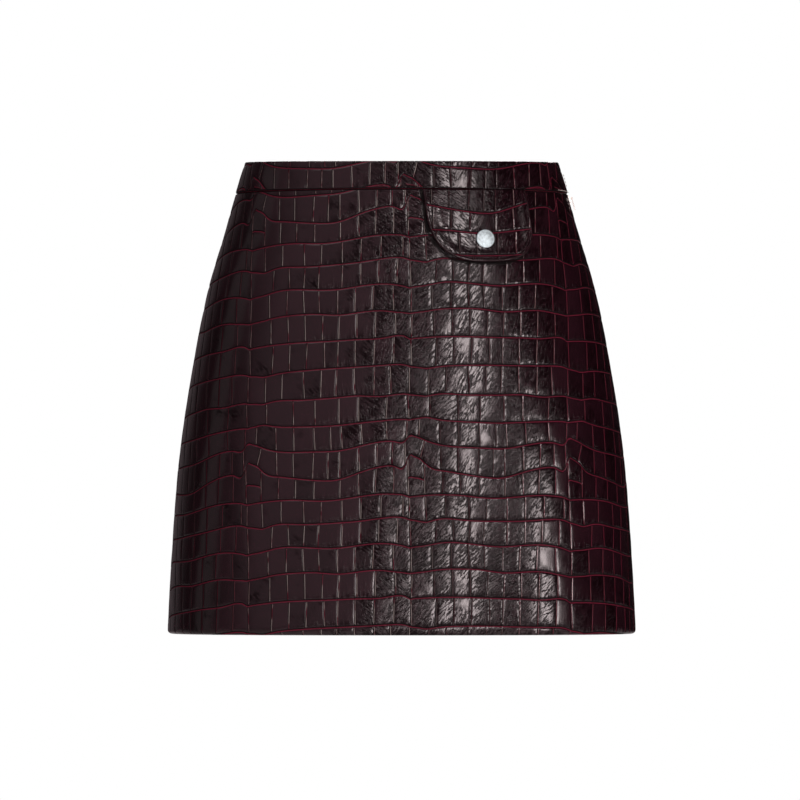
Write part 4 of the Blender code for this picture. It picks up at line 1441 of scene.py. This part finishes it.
def zip_cloth():
    """Woven zip tape: a fine herringbone of threads in dark wine."""
    made, tree, shader = new_material("woven_zip_tape")
    weave = diagonal_wave(tree, 420.0, 0.6)
    put_inputs(tree, shader, {
        "Base Color": mix_colour(tree, weave, (0.020, 0.006, 0.009, 1), (0.062, 0.018, 0.026, 1)),
        "Roughness": 0.8,
        "Sheen Weight": 0.2,
        "Normal": bump_node(tree, weave, 0.1 * MM),
    })
    return made


def sewing_thread(name, dark, light):
    """Twisted thread in two tones, matt."""
    made, tree, shader = new_material(name)
    twist = diagonal_wave(tree, 900.0)
    colour = mix_colour(tree, twist, dark, light)
    put_inputs(tree, shader, {"Base Color": colour, "Roughness": 0.7})
    return made


def colour_setting(name, description, default):
    """Colour that a user may change."""
    return bpy.props.FloatVectorProperty(
        name=name, description=description, size=4, subtype="COLOR", min=0.0, max=1.0, default=default
    )


def share_setting(name, description, default):
    """Share from 0 to 1 that a user may change."""
    return bpy.props.FloatProperty(
        name=name, description=description, subtype="FACTOR", min=0.0, max=1.0, default=default
    )


def length_setting(name, description, default, low, high):
    """Length that a user may change."""
    return bpy.props.FloatProperty(
        name=name, description=description, unit="LENGTH", subtype="DISTANCE", min=low, max=high,
        default=default,
    )


def light_setting(name, description, default):
    """Power of a light that a user may change."""
    return bpy.props.FloatProperty(
        name=name, description="Radiant power of " + description, subtype="POWER", min=0.0,
        max=2000.0, default=default,
    )


class SkirtLooks(bpy.types.PropertyGroup):
    """Colours and finish of the leather."""

    dark_scale: colour_setting(
        "Dark scale", "Colour of the darkest scales", (0.0085, 0.0016, 0.0034, 1.0)
    )
    light_scale: colour_setting(
        "Light scale", "Colour of the lightest scales", (0.0165, 0.0040, 0.0072, 1.0)
    )
    line: colour_setting(
        "Line", "Colour in the lines between the rows of scales", (0.118, 0.0068, 0.022, 1.0)
    )
    # Pale of the thin uprights: a painted glint
    upright: colour_setting(
        "Upright groove", "Colour of the fine upright grooves", (0.31, 0.28, 0.26, 1.0)
    )
    # Colour of the painted shade above the lines, on the uprights' flanks and in the wrinkles' valleys,
    # and of the flap's painted shadow
    shadow: colour_setting(
        "Groove shadow", "Colour of the dye gathered in the grooves", (0.0018, 0.0008, 0.0010, 1.0)
    )
    flesh: colour_setting("Flesh side", "Colour of the plain inside", (0.024, 0.008, 0.011, 1.0))
    # How strongly the uprights are coloured, their painted glint with them
    upright_strength: share_setting(
        "Upright strength", "How strongly the upright grooves are coloured", 0.75
    )
    glaze: share_setting("Glaze", "Weight of the glaze on the scale tops", 1.0)
    glaze_roughness: share_setting("Glaze roughness", "Roughness of the glazed scale tops", 0.18)
    skin_roughness: share_setting("Skin roughness", "Roughness of the skin under the glaze", 0.17)
    skin_specular: share_setting("Skin gloss", "Specular level of the skin under the glaze", 0.14)
    valley_shade: share_setting(
        "Valley shade", "How much the valleys of the wrinkles are darkened", 0.7
    )
    wrinkles: bpy.props.FloatProperty(
        name="Wrinkles", description="Strength of the fine slanting wrinkles",
        min=0.0, max=2.0, default=1.0,
    )
    skin_height: length_setting(
        "Skin height", "Height of the wrinkles and the grain", 0.00028, 0.0, 0.001
    )


class StudioSetup(bpy.types.PropertyGroup):
    """Camera and lights."""

    distance: length_setting(
        "Camera distance", "From the waist opening to the camera", 14.0, 1.0, 30.0
    )
    camera_drop: length_setting(
        "Camera drop", "Height of the camera below the waist edge", 0.2141, 0.0, 1.0
    )
    camera_side: length_setting(
        "Camera side", "Place of the camera to the side of the waist's middle", -0.0015, -1.0, 1.0
    )
    lens: bpy.props.FloatProperty(
        name="Lens", description="Focal length in millimetres on a 36 mm sensor",
        subtype="DISTANCE_CAMERA", min=10.0, max=2000.0, default=700.0,
    )
    core: light_setting("Core light", "the narrow softbox near the camera", 14.0)
    strip: light_setting("Strip light", "the tall softbox at the right front", 5.0)
    top: light_setting("Top light", "the broad softbox above the front", 6.0)
    rim: light_setting("Rim light", "the faint light at the right side", 0.45)
    back: light_setting("Back light", "the high softbox behind", 10.0)
    room: colour_setting(
        "Room", "Colour of the room that the leather mirrors", (0.30, 0.235, 0.25, 1.0)
    )


def leather():
    """The one leather material, made the first time that a piece asks for it."""
    found = bpy.data.materials.get("oxblood_croc_leather")
    return found or croc_leather(bpy.context.scene.skirt_looks)


def finish_piece(made, material, body, slot, *nodes):
    """Gives a piece its material and body, and hides the nodes that it stands for; the slot is not
    used.
    """
    made.data.materials.clear()
    made.data.materials.append(material)
    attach(made, body)
    if nodes:
        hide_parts(*nodes)
    return made


class MakeTextures(bpy.types.Operator):
    """Makes the shader groups that the materials share"""

    bl_idname = "skirt.make_textures"
    bl_label = "Shared textures"

    def execute(self, context):
        skin_texture_group()
        dye_unevenness_group()
        return {"FINISHED"}


class MakePanels(bpy.types.Operator):
    """Builds the front and back panels of embossed leather"""

    bl_idname = "skirt.make_panels"
    bl_label = "Panels"

    def execute(self, context):
        for half, area in PANEL_CUT_AREA.items():
            made = finish_piece(build_panel(half), leather(), SKIRT, LEATHER_SLOT, half + "_panel")
        return {"FINISHED"}


class MakeWaistband(bpy.types.Operator):
    """Builds the two halves of the folded waistband"""

    bl_idname = "skirt.make_waistband"
    bl_label = "Waistband"

    def execute(self, context):
        for half in ("front", "back"):
            made = build_waistband(half)
            finish_piece(made, leather(), SKIRT, LEATHER_SLOT, "waistband_" + half)
        return {"FINISHED"}


class MakeFlap(bpy.types.Operator):
    """Builds the coin pocket flap and its topstitch"""

    bl_idname = "skirt.make_flap"
    bl_label = "Pocket flap"

    def execute(self, context):
        flap = finish_piece(build_flap(), leather(), SKIRT, LEATHER_SLOT, "pocket_flap")
        thread = sewing_thread("wine_thread", (0.010, 0.003, 0.005, 1), (0.034, 0.010, 0.015, 1))
        finish_piece(build_flap_stitches(), thread, SKIRT, LEATHER_SLOT)
        return {"FINISHED"}


class MakeSnap(bpy.types.Operator):
    """Builds the domed cap of the flap's snap"""

    bl_idname = "skirt.make_snap"
    bl_label = "Snap cap"

    def execute(self, context):
        finish_piece(build_snap(), snap_steel(), SKIRT, "snap_metal", "snap_cap")
        return {"FINISHED"}


class MakeZip(bpy.types.Operator):
    """Builds the zip's tape, teeth and stitches, and finishes its slider and pull tab"""

    bl_idname = "skirt.make_zip"
    bl_label = "Zip"

    def execute(self, context):
        steel = zip_steel()
        finish_piece(build_zip_tape(), zip_cloth(), SKIRT, "zip_tape", "zip_chain")
        finish_piece(build_zip_teeth(), steel, SKIRT, "zip_tape", "zip_chain")
        # The stitches' pale colour is a painted highlight: it stands in for glints on dark stitches
        thread = sewing_thread("pale_thread", (0.24, 0.20, 0.19, 1), (0.60, 0.52, 0.48, 1))
        finish_piece(build_zip_stitches(), thread, SKIRT, LEATHER_SLOT)
        for name in ("zip_slider", "zip_pull"):
            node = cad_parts[name]
            for slot in node.material_slots:
                slot.material = steel
        return {"FINISHED"}


# Softboxes: azimuth from the front (plus to the wearer's left), distance and height of each, its
# width and height, its colour, and its roll about its own beam
SOFTBOXES = {
    "core": ((15, 1.6, 0.05), (0.27, 1.5), (1.0, 0.88, 0.88), -0.32),
    "strip": ((42, 1.6, -0.30), (0.26, 0.5), (1.0, 0.88, 0.88), 0.0),
    "top": ((-12, 1.15, 1.8), (1.7, 1.2), (1.0, 0.96, 0.95), 0.0),
    "rim": ((-83, 1.8, 0.1), (0.75, 1.6), (1.0, 0.98, 0.96), 0.0),
    "back": ((168, 1.5, 0.8), (1.0, 0.5), (1.0, 0.90, 0.90), 0.0),
}
LIGHT_AIM = Vector((0, 0, -0.21))
FLOOR_RADIUS = 3.0
FLOOR_SIDES = 96


def add_softbox(name, power, place, size, colour, roll):
    """Rectangular light at a place round the skirt, turned to its middle and rolled."""
    azimuth, distance, height = place
    turn = math.radians(azimuth)
    lamp = bpy.data.lights.new(name, "AREA")
    lamp.shape = "RECTANGLE"
    lamp.size, lamp.size_y = size
    lamp.energy = power
    lamp.color = colour
    made = bpy.data.objects.new(name, lamp)
    made.location = (distance * math.sin(turn), -distance * math.cos(turn), height)
    facing = (LIGHT_AIM - made.location).to_track_quat("-Z", "Y").to_matrix()
    made.rotation_euler = (facing @ Matrix.Rotation(roll, 3, "Z")).to_euler()
    made.visible_camera = False
    bpy.context.scene.collection.objects.link(made)


def pale_floor():
    """Round floor: points of a circle, radius times cosine and sine of even steps of the angle."""
    material, tree, shader = new_material("pale_floor")
    cloudy = use_group(tree, "dye_unevenness", Place=object_place(tree), Scale=2.0)["Mask"]
    mask = math_node(tree, "ADD", cloudy, 0.5)
    colour = mix_colour(tree, mask, (0.74, 0.74, 0.74, 1), (0.80, 0.80, 0.80, 1))
    put_inputs(tree, shader, {"Base Color": colour, "Roughness": 0.7})
    angle = np.linspace(0, 2 * math.pi, FLOOR_SIDES, endpoint=False)
    around = FLOOR_RADIUS * np.stack([np.cos(angle), np.sin(angle)], axis=-1)
    points = np.column_stack([around, np.full(FLOOR_SIDES, FLOOR_HEIGHT)])
    floor = new_piece("studio_floor", points, [np.arange(FLOOR_SIDES)[None]], smooth=False)
    floor.data.materials.append(material)
    return floor


def studio_room(colour):
    """World that the camera sees white, and that the leather mirrors as a room of one colour,
    darker at the wearer's left, far to the right and behind."""
    world = bpy.data.worlds.new("studio")
    world.use_nodes = True
    tree = world.node_tree
    way = vector_parts(tree, add_node(tree, "TexCoord").outputs["Generated"])
    reads = {"across": way["X"], "deep": way["Y"], "aside": scaled_node(tree, way["Y"], 0.12, way["X"])}
    steps = (
        ("aside", -0.10, 0.34, 1.0, 0.10), ("across", -1.0, -0.6, 0.25, 1.0),
        ("deep", -0.2, 0.3, 1.0, 0.28),
    )
    room = mix_colour(tree, steps_node(tree, reads, steps), (0.0, 0.0, 0.0, 1.0), colour)
    seen = add_node(tree, "LightPath").outputs["Is Camera Ray"]
    colour = mix_colour(tree, seen, room, (1, 1, 1, 1))
    put_inputs(tree, tree.nodes["Background"], {"Color": colour})
    return world


class SetStage(bpy.types.Operator):
    """Sets the pale floor, the room, the lights and the camera"""

    bl_idname = "skirt.set_stage"
    bl_label = "Studio"

    def execute(self, context):
        scene = context.scene
        studio = scene.skirt_studio
        scene.view_settings.view_transform = "Standard"
        pale_floor()
        scene.world = studio_room(tuple(studio.room))
        for name, setting in SOFTBOXES.items():
            add_softbox(name + "_softbox", getattr(studio, name), *setting)
        lens = bpy.data.cameras.new("camera")
        lens.sensor_width = 36.0
        lens.lens = studio.lens
        lens.clip_end = 100.0
        camera = bpy.data.objects.new("camera", lens)
        camera.location = (studio.camera_side, -studio.distance, -studio.camera_drop)
        camera.rotation_euler = (math.pi / 2, 0, 0)
        scene.collection.objects.link(camera)
        scene.camera = camera
        return {"FINISHED"}


OPERATORS = (MakeTextures, MakePanels, MakeWaistband, MakeFlap, MakeSnap, MakeZip, SetStage)


class SkirtPanel(bpy.types.Panel):
    """Lists the skirt's settings and the steps that build it"""

    bl_idname = "SKIRT_PT_build"
    bl_label = "Leather skirt"
    bl_space_type = "VIEW_3D"
    bl_region_type = "UI"
    bl_category = "Leather skirt"

    def draw(self, context):
        layout = self.layout
        for settings in (context.scene.skirt_looks, context.scene.skirt_studio):
            box = layout.box()
            for name in settings.__annotations__:
                box.prop(settings, name)
        for operator in OPERATORS:
            layout.operator(operator.bl_idname)


CLASSES = (SkirtLooks, StudioSetup, *OPERATORS, SkirtPanel)


def register():
    """Registers the classes and puts the settings on the scene."""
    for each in CLASSES:
        bpy.utils.register_class(each)
    bpy.types.Scene.skirt_looks = bpy.props.PointerProperty(type=SkirtLooks)
    bpy.types.Scene.skirt_studio = bpy.props.PointerProperty(type=StudioSetup)


def unregister():
    """Takes the settings off the scene and the classes away."""
    del bpy.types.Scene.skirt_studio
    del bpy.types.Scene.skirt_looks
    for each in reversed(CLASSES):
        bpy.utils.unregister_class(each)


def main():
    """Builds every piece in order."""
    register()
    bpy.ops.skirt.make_textures()
    bpy.ops.skirt.make_panels()
    bpy.ops.skirt.make_waistband()
    bpy.ops.skirt.make_flap()
    bpy.ops.skirt.make_snap()
    bpy.ops.skirt.make_zip()
    bpy.ops.skirt.set_stage()


if __name__ == "__main__":
    main()
